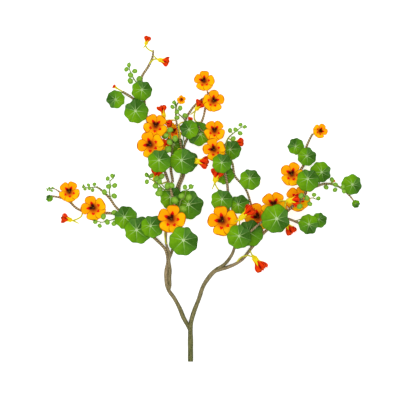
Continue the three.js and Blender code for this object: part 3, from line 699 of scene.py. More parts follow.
def smooth_path(points: Points) -> Points:
    """Run a centripetal Catmull-Rom curve through the points.

    Args:
        points: one row a point.

    Returns:
        The curve's points, close together.
    """
    around = np.vstack([2 * points[0] - points[1], points, 2 * points[-1] - points[-2]])
    gaps = np.linalg.norm(np.diff(around, axis=0), axis=1)
    knots = np.sqrt(np.maximum(gaps, TINY))[:, None]
    share = np.linspace(0, 1, STRETCH, endpoint=False)[:, None]
    pieces = []
    for i in range(len(points) - 1):
        before, here, after, beyond = around[i : i + 4]
        first, own, last = knots[i : i + 3]
        leave = (here - before) / first - (after - before) / (first + own) + (after - here) / own
        arrive = (after - here) / own - (beyond - here) / (own + last) + (beyond - after) / last
        leave, arrive = leave * own, arrive * own
        cubic = 2 * here - 2 * after + leave + arrive
        square = -3 * here + 3 * after - 2 * leave - arrive
        pieces.append(((cubic * share + square) * share + leave) * share + here)
    return np.vstack([*pieces, points[-1]])


class Route:
    """A smooth path of a stem, sampled evenly, with its radius."""

    def __init__(self, points: Sequence[Place], radii: Sequence[float], step: float) -> None:
        """Sample the path.

        Args:
            points: [x, y, z] in millimetres, from root to tip.
            radii: the radius at each point, or any other number of radii, evenly from root to tip.
            step: distance between two samples.
        """
        path = smooth_path(np.array(list(points), dtype=float))
        lengths = np.concatenate([[0], np.cumsum(np.linalg.norm(np.diff(path, axis=0), axis=1))])
        self.length = float(lengths[-1])
        count = max(4, math.ceil(self.length / step))
        self.along = np.linspace(0, self.length, count + 1)
        self.places = np.column_stack([np.interp(self.along, lengths, path[:, k]) for k in range(3)])
        at = lengths[::STRETCH] if len(radii) == len(points) else np.linspace(0, self.length, len(radii))
        self.radii = np.interp(self.along, at, radii)

    def nearest(self, place: Place) -> Points:
        """The route's point that is nearest in plan to [x, y]."""
        gaps = np.hypot(self.places[:, 0] - place[0], self.places[:, 1] - place[1])
        return self.places[int(np.argmin(gaps))]


def deselect() -> None:
    """Leave nothing selected."""
    bpy.ops.object.select_all(action="DESELECT")


def make_active(piece: Piece) -> None:
    """Select one piece alone and make it the active one.

    Args:
        piece: the piece.
    """
    deselect()
    piece.select_set(True)
    bpy.context.view_layer.objects.active = piece


def edit_all() -> None:
    """Open the active piece for editing, with all of it selected."""
    bpy.ops.object.mode_set(mode="EDIT")
    bpy.ops.mesh.select_all(action="SELECT")


def join(name: str, pieces: Sequence[Piece]) -> Piece:
    """Join pieces into one.

    Args:
        name: the joined piece's name.
        pieces: what is joined, at least two.

    Returns:
        The joined piece.
    """
    make_active(pieces[0])
    for piece in pieces:
        piece.select_set(True)
    bpy.ops.object.join()
    whole = bpy.context.view_layer.objects.active
    whole.name = name
    whole.data.name = name
    return whole


def tubes(
    name: str,
    routes: Sequence[Route],
    skin: Material,
    sides: int = 8,
    ages: tuple[float, float] = (0.6, 0.6),
    ridge: Callable[[Points, Points], Points] | None = None,
) -> Piece:
    """Make closed round tubes along routes.

    Args:
        name: the piece's name.
        routes: the tubes' middle lines.
        skin: their finish.
        sides: points round each tube, an even number of at least 6.
        ages: the age at root and tip, for the stem finish.
        ridge: from angle and length along in millimetres, what the radius is multiplied with.

    Returns:
        The piece, in place.
    """
    curve = bpy.data.curves.new(name, "CURVE")
    curve.dimensions = "3D"
    curve.twist_mode = "MINIMUM"
    curve.bevel_depth = MM
    curve.bevel_resolution = sides // 2 - 2  # gives that many sides
    for route in routes:
        spline = curve.splines.new("POLY")
        spline.points.add(len(route.places) - 1)
        places = np.column_stack([route.places * MM, np.ones(len(route.places))])
        spline.points.foreach_set("co", places.ravel())
        spline.points.foreach_set("radius", route.radii)
    piece = bpy.data.objects.new(name, curve)
    bpy.context.collection.objects.link(piece)
    make_active(piece)
    bpy.ops.object.convert(target="MESH")
    piece = bpy.context.view_layer.objects.active
    mesh = piece.data
    mesh.uv_layers[0].name = PATTERN
    centres = np.repeat(np.vstack([r.places for r in routes]), sides, axis=0) * MM
    along = np.repeat(np.concatenate([r.along for r in routes]), sides)
    share = np.repeat(np.concatenate([r.along / r.length for r in routes]), sides)
    radii = np.repeat(np.concatenate([r.radii for r in routes]), sides)
    angle = np.tile(2 * np.pi * np.arange(sides) / sides, len(along) // sides)
    places = read_points(mesh)
    if ridge:
        places = centres + (places - centres) * ridge(angle, along)[:, None]
        write_points(mesh, places)
    straight = np.column_stack([np.cos(angle) * radii, np.sin(angle) * radii, along]) * MM
    layer = mesh.attributes.new(STRAIGHT, "FLOAT_VECTOR", "POINT")
    layer.data.foreach_set("vector", straight.ravel())
    layer = mesh.attributes.new(AGE, "FLOAT", "POINT")
    layer.data.foreach_set("value", ages[0] + (ages[1] - ages[0]) * share)
    edit_all()
    bpy.ops.mesh.fill_holes(sides=0)
    bpy.ops.mesh.normals_make_consistent(inside=False)
    bpy.ops.object.mode_set(mode="OBJECT")
    bpy.ops.object.shade_smooth_by_angle(angle=math.radians(TUBE_CREASE))
    mesh.materials.clear()
    mesh.materials.append(skin)
    return piece


def read_points(mesh: bpy.types.Mesh) -> Points:
    """Read a mesh's points.

    Args:
        mesh: the mesh.

    Returns:
        Its points, one row each, in metres.
    """
    flat = np.empty(3 * len(mesh.vertices))
    mesh.vertices.foreach_get("co", flat)
    return flat.reshape(-1, 3)


def write_points(mesh: bpy.types.Mesh, points: Points) -> None:
    """Move the mesh's points to the given rows, in metres."""
    mesh.vertices.foreach_set("co", np.ascontiguousarray(points, dtype=float).ravel())
    mesh.update()


# ---- moulds: thin shells of unit size that leaves and petals are shaped from ----
# A shell's outer face lies at z = 0 and its inner face at z = -1.

WELD = 1e-4  # points of a petal's mould that lie closer than this become one


class Mould:
    """A flat shell of unit size. Its copies are shaped into leaves and petals."""

    def __init__(self, name: str, piece: Piece) -> None:
        """Close a flat open mesh into a shell.

        Args:
            name: the mould's name.
            piece: a flat mesh at z = 0, facing up, with its UV map drawn.
        """
        make_active(piece)
        wall = piece.modifiers.new("wall", "SOLIDIFY")
        wall.thickness = 1.0
        wall.offset = -1.0
        wall.material_offset = 1
        wall.material_offset_rim = 1
        for _ in range(2):
            piece.data.materials.append(None)
        bpy.ops.object.modifier_apply(modifier=wall.name)
        bpy.ops.object.shade_smooth_by_angle(angle=math.radians(SHELL_CREASE))
        self.mesh = piece.data
        self.mesh.name = name
        bpy.data.objects.remove(piece)

    def copy(self, name: str, shape: Shaper, skins: Sequence[Material]) -> Piece:
        """Shape a copy of the shell.

        Args:
            name: the copy's name.
            shape: from the shell's points to the copy's points, both one row each.
            skins: the finish of the outer face, and of the inner face and edge.

        Returns:
            The copy, linked to the scene.
        """
        mesh = self.mesh.copy()
        mesh.name = name
        write_points(mesh, shape(read_points(mesh)) * MM)
        mesh.materials.clear()
        for skin in skins:
            mesh.materials.append(skin)
        piece = bpy.data.objects.new(name, mesh)
        bpy.context.collection.objects.link(piece)
        return piece


def draw_pattern(mesh: bpy.types.Mesh, centre: tuple[float, float], scale: tuple[float, float]) -> None:
    """Lay the pattern's UV map flat over a mesh.

    Args:
        mesh: a flat mesh.
        centre: the map's place of the mesh's origin.
        scale: the map's units for one unit of the mesh in X and in Y.
    """
    layer = mesh.uv_layers[0] if mesh.uv_layers else mesh.uv_layers.new()
    layer.name = PATTERN
    corner = np.empty(len(mesh.loops), dtype=int)
    mesh.loops.foreach_get("vertex_index", corner)
    flat = read_points(mesh)[corner, :2] * np.array(scale) + np.array(centre)
    layer.data.foreach_set("uv", flat.ravel())


def round_mould(name: str, sides: int, rings: Sequence[float], hollow: bool = False) -> Mould:
    """Make a round shell of radius 1.

    Args:
        name: the mould's name.
        sides: points round the rim.
        rings: the radii of its rings, from 1 inwards.
        hollow: leave the innermost ring open.

    Returns:
        The mould.
    """
    deselect()
    bpy.ops.mesh.primitive_circle_add(vertices=sides, radius=rings[0], fill_type="NOTHING")
    disc = bpy.context.view_layer.objects.active
    edit_all()
    for outer, inner in zip(rings, rings[1:]):
        bpy.ops.mesh.extrude_region_move()
        bpy.ops.transform.resize(value=(inner / outer, inner / outer, 1))
    if not hollow:
        bpy.ops.mesh.extrude_region_move()
        bpy.ops.mesh.merge(type="CENTER")
    bpy.ops.mesh.select_all(action="SELECT")
    bpy.ops.mesh.flip_normals()
    bpy.ops.object.mode_set(mode="OBJECT")
    draw_pattern(disc.data, (0.5, 0.5), (0.5, 0.5))
    return Mould(name, disc)


@dataclass(frozen=True)
class PetalForm:
    """The flat outline of a petal, in radii of its flower, with the flower's middle at the origin."""

    claw: float  # half width where the petal starts
    width: float  # half width where it is broadest
    broadest: float  # where that is, from 0 at the start to 1 at the end
    blunt: float  # 2 is a round end; more is squarer
    start: float = 0.1
    claw_bend: float = 1.3  # more keeps the claw narrow for longer

    def half_width(self, share: Points) -> Points:
        """Work out how wide the petal is.

        Args:
            share: of its length, from 0 at its start to 1 at its end.

        Returns:
            Half its width at each share.
        """
        low = ramp(share, 0, self.broadest) ** self.claw_bend
        rise = self.claw + (self.width - self.claw) * np.sin(np.pi / 2 * low)
        return rise * (1 - ramp(share, self.broadest, 1) ** self.blunt) ** (1 / self.blunt)

    def mould(self, name: str, columns: int, rows: int) -> Mould:
        """Make the petal's shell, along +Y.

        Args:
            name: the mould's name.
            columns: faces across it.
            rows: faces along it.

        Returns:
            The mould.
        """
        deselect()
        bpy.ops.mesh.primitive_grid_add(x_subdivisions=columns, y_subdivisions=rows, size=2)
        petal = bpy.context.view_layer.objects.active
        grid = read_points(petal.data)
        across = grid[:, 0]
        share = np.sin(np.pi / 2 * (grid[:, 1] + 1) / 2)
        along = self.start + (1 - self.start) * share
        write_points(petal.data, np.column_stack([across * self.half_width(share), along, 0 * share]))
        layer = petal.data.attributes.new(RIM, "FLOAT", "POINT")
        layer.data.foreach_set("value", np.maximum(np.abs(across), share))
        edit_all()
        bpy.ops.mesh.remove_doubles(threshold=WELD)
        bpy.ops.object.mode_set(mode="OBJECT")
        draw_pattern(petal.data, (0.5, 0.0), (0.5, 1.0))
        return Mould(name, petal)


def turned(points: Points, matrix: Matrix) -> Points:
    """Rows of points put through a matrix."""
    full = np.array(matrix.to_4x4())
    return points @ full[:3, :3].T + full[:3, 3]


def settled(points: Points, low: float = 2.5) -> Points:
    """Press what lies low, or under the surface, softly on to it.

    Args:
        points: one row a point.
        low: the height from which points are pressed.

    Returns:
        The points, all above the surface.
    """
    height = points[:, 2]
    pressed = np.where(height < low, low * np.exp((np.minimum(height, low) - low) / low), height)
    return np.column_stack([points[:, :2], pressed])


def stand(at: Place, tilt: Place, turn: float = 0.0) -> Matrix:
    """The matrix from a head's own frame to the plant's.

    Args:
        at: where its origin goes, in millimetres.
        tilt: degrees about X, then about Y.
        turn: degrees about its own +Z, before the tilt.

    Returns:
        The matrix.
    """
    lean = Euler((math.radians(tilt[0]), math.radians(tilt[1]), 0), "XYZ").to_matrix().to_4x4()
    return Matrix.Translation(Vector(at)) @ lean @ Matrix.Rotation(math.radians(turn), 4, "Z")


# ---- the parts of the plant ----

UPPER_PETAL = PetalForm(claw=0.11, width=0.46, broadest=0.62, blunt=2.2, claw_bend=1.1)
LOWER_PETAL = PetalForm(claw=0.11, width=0.52, broadest=0.64, blunt=2.3, claw_bend=1.1)
SEPAL = PetalForm(claw=0.5, width=0.5, broadest=0.25, start=0.0, blunt=1.1)
BLADE_RINGS = (1.0, 0.97, 0.91, 0.82, 0.71, 0.59, 0.46, 0.33, 0.21, 0.11, 0.05)
FUNNEL_HOLE = 0.25  # radius of the hole in the funnel's mould, which becomes its throat


class Shell(Enum):
    """The moulds, by what is shaped from them."""

    BLADE = "leaf blade"
    YOUNG_BLADE = "small leaf of a shoot"
    FUNNEL = "whorl of a closed flower"
    CUP = "throat of an open flower"
    UPPER_PETAL = "upper petal"
    LOWER_PETAL = "lower petal"
    SEPAL = "sepal"


@dataclass
class Workshop:
    """What all the parts share: the finishes, the moulds and the routes of the branches."""

    skins: Skins = field(default_factory=Skins)
    routes: dict[str, Route] = field(default_factory=dict)
    moulds: dict[Shell, Mould] = field(default_factory=dict)

    def __post_init__(self) -> None:
        """Make the moulds."""
        funnel_rings = np.linspace(1, FUNNEL_HOLE, 11)
        self.moulds[Shell.BLADE] = round_mould("blade_mould", 96, BLADE_RINGS)
        self.moulds[Shell.YOUNG_BLADE] = round_mould("young_blade_mould", 24, (1.0, 0.86, 0.6, 0.3))
        self.moulds[Shell.FUNNEL] = round_mould("funnel_mould", 60, funnel_rings, hollow=True)
        self.moulds[Shell.CUP] = round_mould("cup_mould", 24, (1.0, 0.8, 0.6, 0.35))
        self.moulds[Shell.UPPER_PETAL] = UPPER_PETAL.mould("upper_petal_mould", 16, 14)
        self.moulds[Shell.LOWER_PETAL] = LOWER_PETAL.mould("lower_petal_mould", 16, 14)
        self.moulds[Shell.SEPAL] = SEPAL.mould("sepal_mould", 4, 6)


def carried(piece: Piece, node: str | None = None) -> None:
    """Put a finished piece on the plant.

    Args:
        piece: the piece.
        node: the CAD node that it stands for, if there is one.
    """
    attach(piece, "root")
    if node:
        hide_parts(node)
    log.info("%s: %d points%s", piece.name, len(piece.data.vertices), f", for {node}" if node else "")


@dataclass
class Branch:
    """A brown, twisted stem."""

    name: str
    points: Sequence[Place]  # x, y, height of the middle line, radius
    parent: str | None = None
    ages: tuple[float, float] = (0.6, 0.6)  # at the root and at the tip
    node: bool = True  # whether the CAD model has it as a node
    skin: float = 0.6  # how much thicker the dry skin makes a grown stem
    skinned: tuple[float, float] = (0.9, 1.5)  # radii between which that skin starts and is full
    rest: float = 1.12  # lowest height of the middle line, in radii
    step: float = 1.3  # between two rings of points
    sides: int = 14
    ridges: float = 0.08  # height of the twisted ridges, in radii
    worn: tuple[float, float] = (0.5, 0.8)  # ages between which the ridges wear off
    swellings: Sequence[Place] = ((0.04, 17.0, 0.0), (0.03, 6.3, 1.0))  # height, length / 2 pi, phase

    def build(self, shop: Workshop) -> None:
        """Make the stem, from its parent's middle line to its tip.

        Args:
            shop: the shared finishes, moulds and routes.
        """
        radii = [radius + self.skin * ramp(radius, *self.skinned) for _, _, _, radius in self.points]
        points = [[x, y, max(z, self.rest * radius)] for (x, y, z, _), radius in zip(self.points, radii)]
        if self.parent:
            points[0] = shop.routes[self.parent].nearest(points[0])
        route = Route(points, radii, self.step)
        shop.routes[self.name] = route
        piece = tubes(f"stem_{self.name}", [route], shop.skins.stem, self.sides, self.ages, self.ridge)
        carried(piece, self.name if self.node else None)

    def ridge(self, angle: Points, along: Points) -> Points:
        """Two ridges that twist round the stem, and slight swellings along it.

        Args:
            angle: of each point, about the stem, in radians.
            along: length from the root.

        Returns:
            What the radius is multiplied with.
        """
        twist = 2 * (angle + 2 * np.pi * along / PITCH)
        age = self.ages[0] + (self.ages[1] - self.ages[0]) * along / along.max()
        swell = sum(height * np.sin(along / length + phase) for height, length, phase in self.swellings)
        return 1 + self.ridges * (1 - ramp(age, *self.worn)) * np.sin(twist) + swell


@dataclass
class Leaf:
    """A shield-shaped leaf: a round blade, held near its middle by a long stalk."""

    number: int
    middle: Place  # the blade's middle
    offset: Place  # the same, seen from the navel, where the stalk meets the blade
    size: float
    tilt: Place
    branch: str
    grows: Place
    turn: float = 0.0  # of the pattern, and so of its painted light and shade, degrees counter-clockwise
    via: Sequence[Place] = ()
    node: bool = True
    thickness: float = 0.5
    crown: float = 1.3  # how high the blade bulges half way to its rim
    pleat: float = 0.9  # how much higher the rim lies between two veins than on them
    groove: float = 0.35  # depth of the groove along each vein
    groove_width: float = 2.2
    dimple: float = 0.5  # depth of the dimple at the navel
    dimple_width: float = 0.1  # in radii of the blade
    ripple: float = 0.5  # how far the rim waves up and down
    lobing: float = 1.25  # how strongly the rim follows its lobes
    wobbles: Sequence[Place] = ((0.012, 3, 1.0), (0.01, 5, 2.3))  # of the rim: share, waves, seed
    stalk_radii: tuple[float, float] = (1.15, 0.85)
    stalk_bend: float = 5.0  # below the navel the stalk stands upright for this long

    @property
    def at(self) -> Place:
        """The navel, where the stalk meets the blade."""
        x, y, z = self.middle
        return (x - self.offset[0], y - self.offset[1], z)

    def build(self, shop: Workshop) -> None:
        """Make the blade and its stalk as one piece.

        Args:
            shop: the shared finishes, moulds and routes.
        """
        name = f"shield_leaf_{self.number:02d}"
        blade = shop.moulds[Shell.BLADE].copy(name, self.shape, (shop.skins.leaf, shop.skins.leaf_back))
        foot = shop.routes[self.branch].nearest(self.grows)
        top = np.array(self.at, dtype=float)
        bend = top - (0, 0, min(self.stalk_bend, top[2] / 2))
        route = Route([foot, *self.via, bend, top - (0, 0, 0.3)], self.stalk_radii, 2.5)
        stalk = tubes(f"{name}_stalk", [route], shop.skins.leaf_stalk)
        carried(join(name, [blade, stalk]), f"leaf_{self.number:02d}" if self.node else None)

    def shape(self, points: Points) -> Points:
        """Give the flat shell the leaf's rim, pleats and grooves, and put it in place.

        Args:
            points: the mould's points.

        Returns:
            The blade's points.
        """
        pattern = np.degrees(np.arctan2(points[:, 1], points[:, 0]))
        angle = np.radians(pattern + self.turn)
        share = np.hypot(points[:, 0], points[:, 1])
        along = self.offset[0] * np.cos(angle) + self.offset[1] * np.sin(angle)
        across = self.offset[0] * np.sin(angle) - self.offset[1] * np.cos(angle)
        reach = along + np.sqrt((self.size / 2) ** 2 - across**2)
        wobble = 1.0
        for high, waves, seed in self.wobbles:
            wobble = wobble + high * np.sin(waves * angle + seed * self.number)
        rim = 1 + self.lobing * (rim_reach(pattern) - 1) * np.clip(share, 0, 1) ** 2
        distance = share * reach * rim * wobble
        between = between_veins(pattern)
        height = self.crown * 4 * share * (1 - share)
        height += self.pleat * share * (between - 0.5)
        height -= self.groove * np.exp(-((between * distance / self.groove_width) ** 2)) * (1 - 0.6 * share)
        height -= self.dimple * np.exp(-((share / self.dimple_width) ** 2))
        height += self.ripple * share**3 * np.sin(4 * angle + 1.7 * self.number)
        height += points[:, 2] * self.thickness
        flat = np.column_stack([distance * np.cos(angle), distance * np.sin(angle), height])
        return turned(flat, stand(self.at, self.tilt))


@dataclass
class OpenFlower:
    """An open flower: two flamed upper petals, three spotted lower ones, calyx, spur and stalk."""

    number: int
    at: Place  # the middle of the throat, at the level of the petals
    size: float
    turn: float  # where the gap between the upper petals points, counter-clockwise from +Y
    tilt: Place
    branch: str
    grows: Place
    via: Sequence[Place] = ()
    node: bool = True
    brown_stalk: bool = False
    petals: Sequence[float] = (37, -37, 120, 180, -120)  # where each points, from the gap
    thickness: float = 0.35
    sink: float = 4.2  # how far the petals drop to the throat
    droop: float = 0.9  # how far their ends hang
    overlap: float = 0.7  # how far one edge of a petal rises over its neighbour
    edge: float = 0.45  # half a petal's width, in radii of the flower
    throat_width: float = 0.17  # in radii of the flower
    throat: tuple[float, float] = (-7.4, 3.9)  # height of its floor, and its depth
    stamens: int = 8
    stamen_radii: Sequence[float] = (0.22, 0.22, 0.3, 0.62, 0.5, 0.1)
    stamens_fit: float = 50.0  # the flower size that the stamens are drawn for
    sepal: tuple[float, float] = (-7.8, 5.2)  # height of its foot, and how far it rises
    sepal_length: float = 0.46  # in radii of the flower
    spur_length: float = 0.36  # in flower sizes
    spur_drop: Sequence[float] = (-10.4, -10.8, -11.0)  # height of its root, bend and tip
    spur_radii: Sequence[float] = (2.4, 2.0, 1.3, 0.9, 0.7)
    stalk_radii: tuple[float, float] = (1.3, 1.1)

    def build(self, shop: Workshop) -> None:
        """Make the petals with their throat, and the green parts behind them, as two pieces.

        Args:
            shop: the shared finishes, moulds and routes.
        """
        skins = shop.skins
        front = []
        for i, angle in enumerate(self.petals):
            upper = abs(angle) < 90
            mould = shop.moulds[Shell.UPPER_PETAL if upper else Shell.LOWER_PETAL]
            skin = skins.upper_petal if upper else skins.lower_petal
            shape = partial(self.petal_shape, angle=angle, seed=7.1 * i + 3.7 * self.number)
            front.append(mould.copy(f"petal_{i}", shape, (skin, skin)))
        pair = (skins.throat, skins.flower_stalk)
        front.append(shop.moulds[Shell.CUP].copy("throat", self.throat_shape, pair))
        front.append(tubes("stamens", self.stamen_routes(), skins.stamen, 6))
        corolla = join(f"open_flower_{self.number:02d}_petals", front)
        carried(corolla, f"flower_{self.number:02d}" if self.node else None)
        behind = []
        for i in range(len(self.petals)):
            shape = partial(self.sepal_shape, angle=360 / len(self.petals) * i)
            behind.append(shop.moulds[Shell.SEPAL].copy(f"sepal_{i}", shape, (skins.flower_stalk,) * 2))
        behind.append(tubes("spur", [self.spur_route()], skins.flower_stalk))
        stalk_skin = skins.stem if self.brown_stalk else skins.flower_stalk
        behind.append(tubes("stalk", [self.stalk_route(shop)], stalk_skin))
        carried(join(f"open_flower_{self.number:02d}_calyx", behind))

    def petal_shape(self, points: Points, angle: float, seed: float) -> Points:
        """Cup, ruffle and place one petal.

        Args:
            points: its mould's points.
            angle: where it points, counter-clockwise from the gap.
            seed: sets its own ruffles.

        Returns:
            The petal's points.
        """
        across, along = points[:, 0], points[:, 1]
        share = ramp(along, 0.1, 1.0)
        aside = across / self.edge
        height = -self.sink * (1 - share) ** 1.7 - self.droop * share**5 + self.overlap * aside
        height += 0.9 * share**2 * np.abs(aside) * np.sin(9 * across + seed)
        height += 0.5 * share**4 * np.sin(14 * across + 2 * seed)
        height += points[:, 2] * self.thickness
        reach = self.size / 2 * along * (1 + 0.025 * np.sin(6 * across + seed) * share**3)
        flat = np.column_stack([across * self.size / 2, reach, height])
        return turned(flat, stand(self.at, self.tilt, self.turn + angle))

    def throat_shape(self, points: Points) -> Points:
        """Sink the round shell into a funnel.

        Args:
            points: its mould's points.

        Returns:
            The throat's points.
        """
        share = np.hypot(points[:, 0], points[:, 1])
        width = self.throat_width * self.size / 2 * (0.45 + 0.55 * share)
        floor, depth = self.throat
        height = floor + depth * share**1.5 + points[:, 2] * 0.5
        flat = np.column_stack([points[:, 0] * width, points[:, 1] * width, height])
        return turned(flat, stand(self.at, self.tilt, self.turn))

    def stamen_routes(self) -> list[Route]:
        """Fan filaments with thick anthers over the lower side of the throat.

        Returns:
            A route for each stamen.
        """
        matrix = stand(self.at, self.tilt, self.turn)
        scale = self.size / self.stamens_fit
        routes = []
        for i in range(self.stamens):
            angle = math.radians(360 / self.stamens * i + 10)
            spread = 1.1 if i % 2 else 0.6
            x, y = 1.5 * spread * math.cos(angle) * scale, (1.3 * spread * math.sin(angle) - 1.0) * scale
            z = -1.2 * spread
            foot, middle = (0, 0, self.throat[0] + 0.4), (x * 0.5, y * 0.4, -4.0)
            local = [foot, middle, (x, y, z), (x * 1.1, y * 1.15, z + 0.9)]
            routes.append(Route(turned(np.array(local), matrix), self.stamen_radii, 0.6))
        return routes

    def sepal_shape(self, points: Points, angle: float) -> Points:
        """Curl one sepal up from the spur to the back of the petals.

        Args:
            points: its mould's points.
            angle: where it points, counter-clockwise from the gap.

        Returns:
            The sepal's points.
        """
        length = self.sepal_length * self.size / 2
        foot, rise = self.sepal
        height = foot + rise * points[:, 1] ** 0.8 + points[:, 2] * 0.4
        flat = np.column_stack([points[:, 0] * 0.4 * length, 1.2 + points[:, 1] * length, height])
        return turned(flat, stand(self.at, self.tilt, self.turn + angle))

    def spur_route(self) -> Route:
        """The spur, from behind the throat towards the gap between the upper petals."""
        reach = self.size * self.spur_length
        local = np.column_stack([(0, 0, 0), (0, 0.25 * reach, reach), self.spur_drop])
        return Route(turned(local, stand(self.at, self.tilt, self.turn)), self.spur_radii, 1.5)

    def stalk_route(self, shop: Workshop) -> Route:
        """The stalk, from its branch to the back of the throat.

        Args:
            shop: the shared finishes, moulds and routes.

        Returns:
            The stalk's route.
        """
        foot = shop.routes[self.branch].nearest(self.grows)
        top = np.array(self.at, dtype=float) - (0, 0, 6)
        return Route([foot, *self.via, top - (0, 0, 4), top], self.stalk_radii, 2.0)


@dataclass
class ClosedFlower:
    """A closed flower seen from the side: a spur, a yellow calyx tube and crumpled scarlet petals."""

    number: int
    spur: Place
    throat: Place
    mouth: Place
    radius: float
    stalk: Sequence[Place]
    node: str | None = None
    neck: float = 0.32  # share of the head's length where it starts to widen
    lip: float = 0.86  # share of its length past which the petals curl in again
    curl: float = 0.14  # how far they curl in there
    flat: float = 0.75  # height of the head against its width, as it lies on its side
    folds: int = 5  # lobes of each whorl, and sepals
    whorls: Sequence[Place] = (  # width and length against the head's, degrees about its axis
        (1.07, 0.97, 0.0),
        (0.82, 1.01, 36.0),
        (0.5, 1.02, 10.0),
    )
    thickness: float = 0.35
    tube_radii: Sequence[float] = (0.45, 0.8, 1.0, 0.9)  # in tube widths
    spur_radii: Sequence[float] = (0.9, 1.3, 1.5, 1.8)
    stalk_radii: tuple[float, float] = (1.5, 1.4)
    length: float = field(init=False)  # of the head, from throat to mouth
    frame: Matrix = field(init=False)  # from the head's own frame, +Z out of its mouth, to the plant's

    def __post_init__(self) -> None:
        """Work out the head's length and frame."""
        out = np.subtract(self.mouth, self.throat, dtype=float)
        self.length = float(np.linalg.norm(out))
        lean = Vector(out).to_track_quat("Z", "Y").to_matrix().to_4x4()
        self.frame = Matrix.Translation(Vector(self.throat)) @ lean

    def build(self, shop: Workshop) -> None:
        """Make spur, stalk, tube and petals as one piece.

        Args:
            shop: the shared finishes, moulds and routes.
        """
        skins = shop.skins
        name = f"closed_flower_{self.number:02d}_bloom"
        spur, throat, mouth = (np.array(p, dtype=float) for p in (self.spur, self.throat, self.mouth))
        pieces = []
        for i, whorl in enumerate(self.whorls):
            shape = partial(self.funnel_shape, whorl=whorl)
            pair = (skins.trumpet, skins.trumpet_inside)
            pieces.append(shop.moulds[Shell.FUNNEL].copy(f"{name}_whorl_{i}", shape, pair))
        for i in range(self.folds):
            shape = partial(self.sepal_shape, turn=2 * math.pi / self.folds * (i + 0.5))
            pieces.append(shop.moulds[Shell.SEPAL].copy(f"{name}_sepal_{i}", shape, (skins.tube, skins.tube)))
        bend = throat + (throat - mouth) * 0.25
        width = min(0.42 * self.radius, 5.4)
        radii = [share * width for share in self.tube_radii]
        tube = Route([bend, throat, throat + (mouth - throat) * 0.3], radii, 1.0)
        pieces.append(tubes(f"{name}_tube", [tube], skins.tube, 12))
        back = Route([spur, (spur + bend) / 2 - (0, 0, 0.5), bend, throat], self.spur_radii, 1.5)
        foot = Route([*self.stalk, bend], self.stalk_radii, 2.0)
        pieces.append(tubes(f"{name}_stalk", [back, foot], skins.flower_stalk))
        carried(join(name, pieces), self.node)

    def placed(self, radius: Points, angle: Points, height: Points) -> Points:
        """Points round the head's axis, pressed a little flat and put in place.

        Args:
            radius: distance from the axis.
            angle: in radians, about the axis.
            height: along the axis, from the throat.

        Returns:
            The points, one row each.
        """
        points = turned(np.column_stack([radius * np.cos(angle), radius * np.sin(angle), height]), self.frame)
        axis = self.throat[2] + (self.mouth[2] - self.throat[2]) * height / self.length
        points[:, 2] = axis + (points[:, 2] - axis) * self.flat
        return points

    def profile(self, share: Points) -> Points:
        """Work out how wide the funnel is.

        Args:
            share: of its length, from 0 at the throat to 1 at the mouth.

        Returns:
            Its radius at each share.
        """
        start = min(0.4 * self.radius, 5.2)
        swell = np.sin(np.pi / 2 * ramp(share, self.neck, self.lip)) ** 1.2
        return (start + (self.radius - start) * swell) * (1 - self.curl * ramp(share, self.lip, 1) ** 2)

    def funnel_shape(self, points: Points, whorl: Place) -> Points:
        """Roll the flat ring up into one whorl of folded petals.

        Args:
            points: its mould's points.
            whorl: its width and length against the head's, and its turn about the head's axis.

        Returns:
            The whorl's points.
        """
        wide, long, turn = whorl
        seed = 1.9 * self.number + 5.0 * wide
        share = ramp(np.hypot(points[:, 0], points[:, 1]), FUNNEL_HOLE, 1)
        angle = np.arctan2(points[:, 1], points[:, 0]) + math.radians(turn)
        notch = 1 - np.abs(np.cos(self.folds / 2 * angle)) ** 0.7
        radius = self.profile(share) * wide
        radius *= 1 + share * (0.07 * np.sin(2 * angle + seed) + 0.04 * np.sin(7 * angle + seed))
        radius *= 1 - 0.06 * share * notch
        radius += 0.035 * self.radius * share**2 * np.sin(16 * angle + seed)
        radius += points[:, 2] * self.thickness
        tall = 1 - 0.07 * share * notch + 0.05 * share * np.sin(3 * angle + seed)
        height = self.length * long * share * tall + 0.35 * share**2 * np.sin(11 * angle + seed)
        return settled(self.placed(radius, angle, height))

    def sepal_shape(self, points: Points, turn: float) -> Points:
        """Wrap one yellow sepal on the funnel, along a fold of the petals.

        Args:
            points: its mould's points.
            turn: radians about the head's axis.

        Returns:
            The sepal's points.
        """
        share = points[:, 1] * (0.55 + 0.5 * self.neck) - 0.08
        radius = self.profile(share) * (1 + 0.08 * np.clip(share, 0, 1)) + 0.7 + points[:, 2] * 0.4
        angle = turn + points[:, 0] * 0.85 * 2 * np.pi / self.folds
        return self.placed(radius, angle, self.length * share)


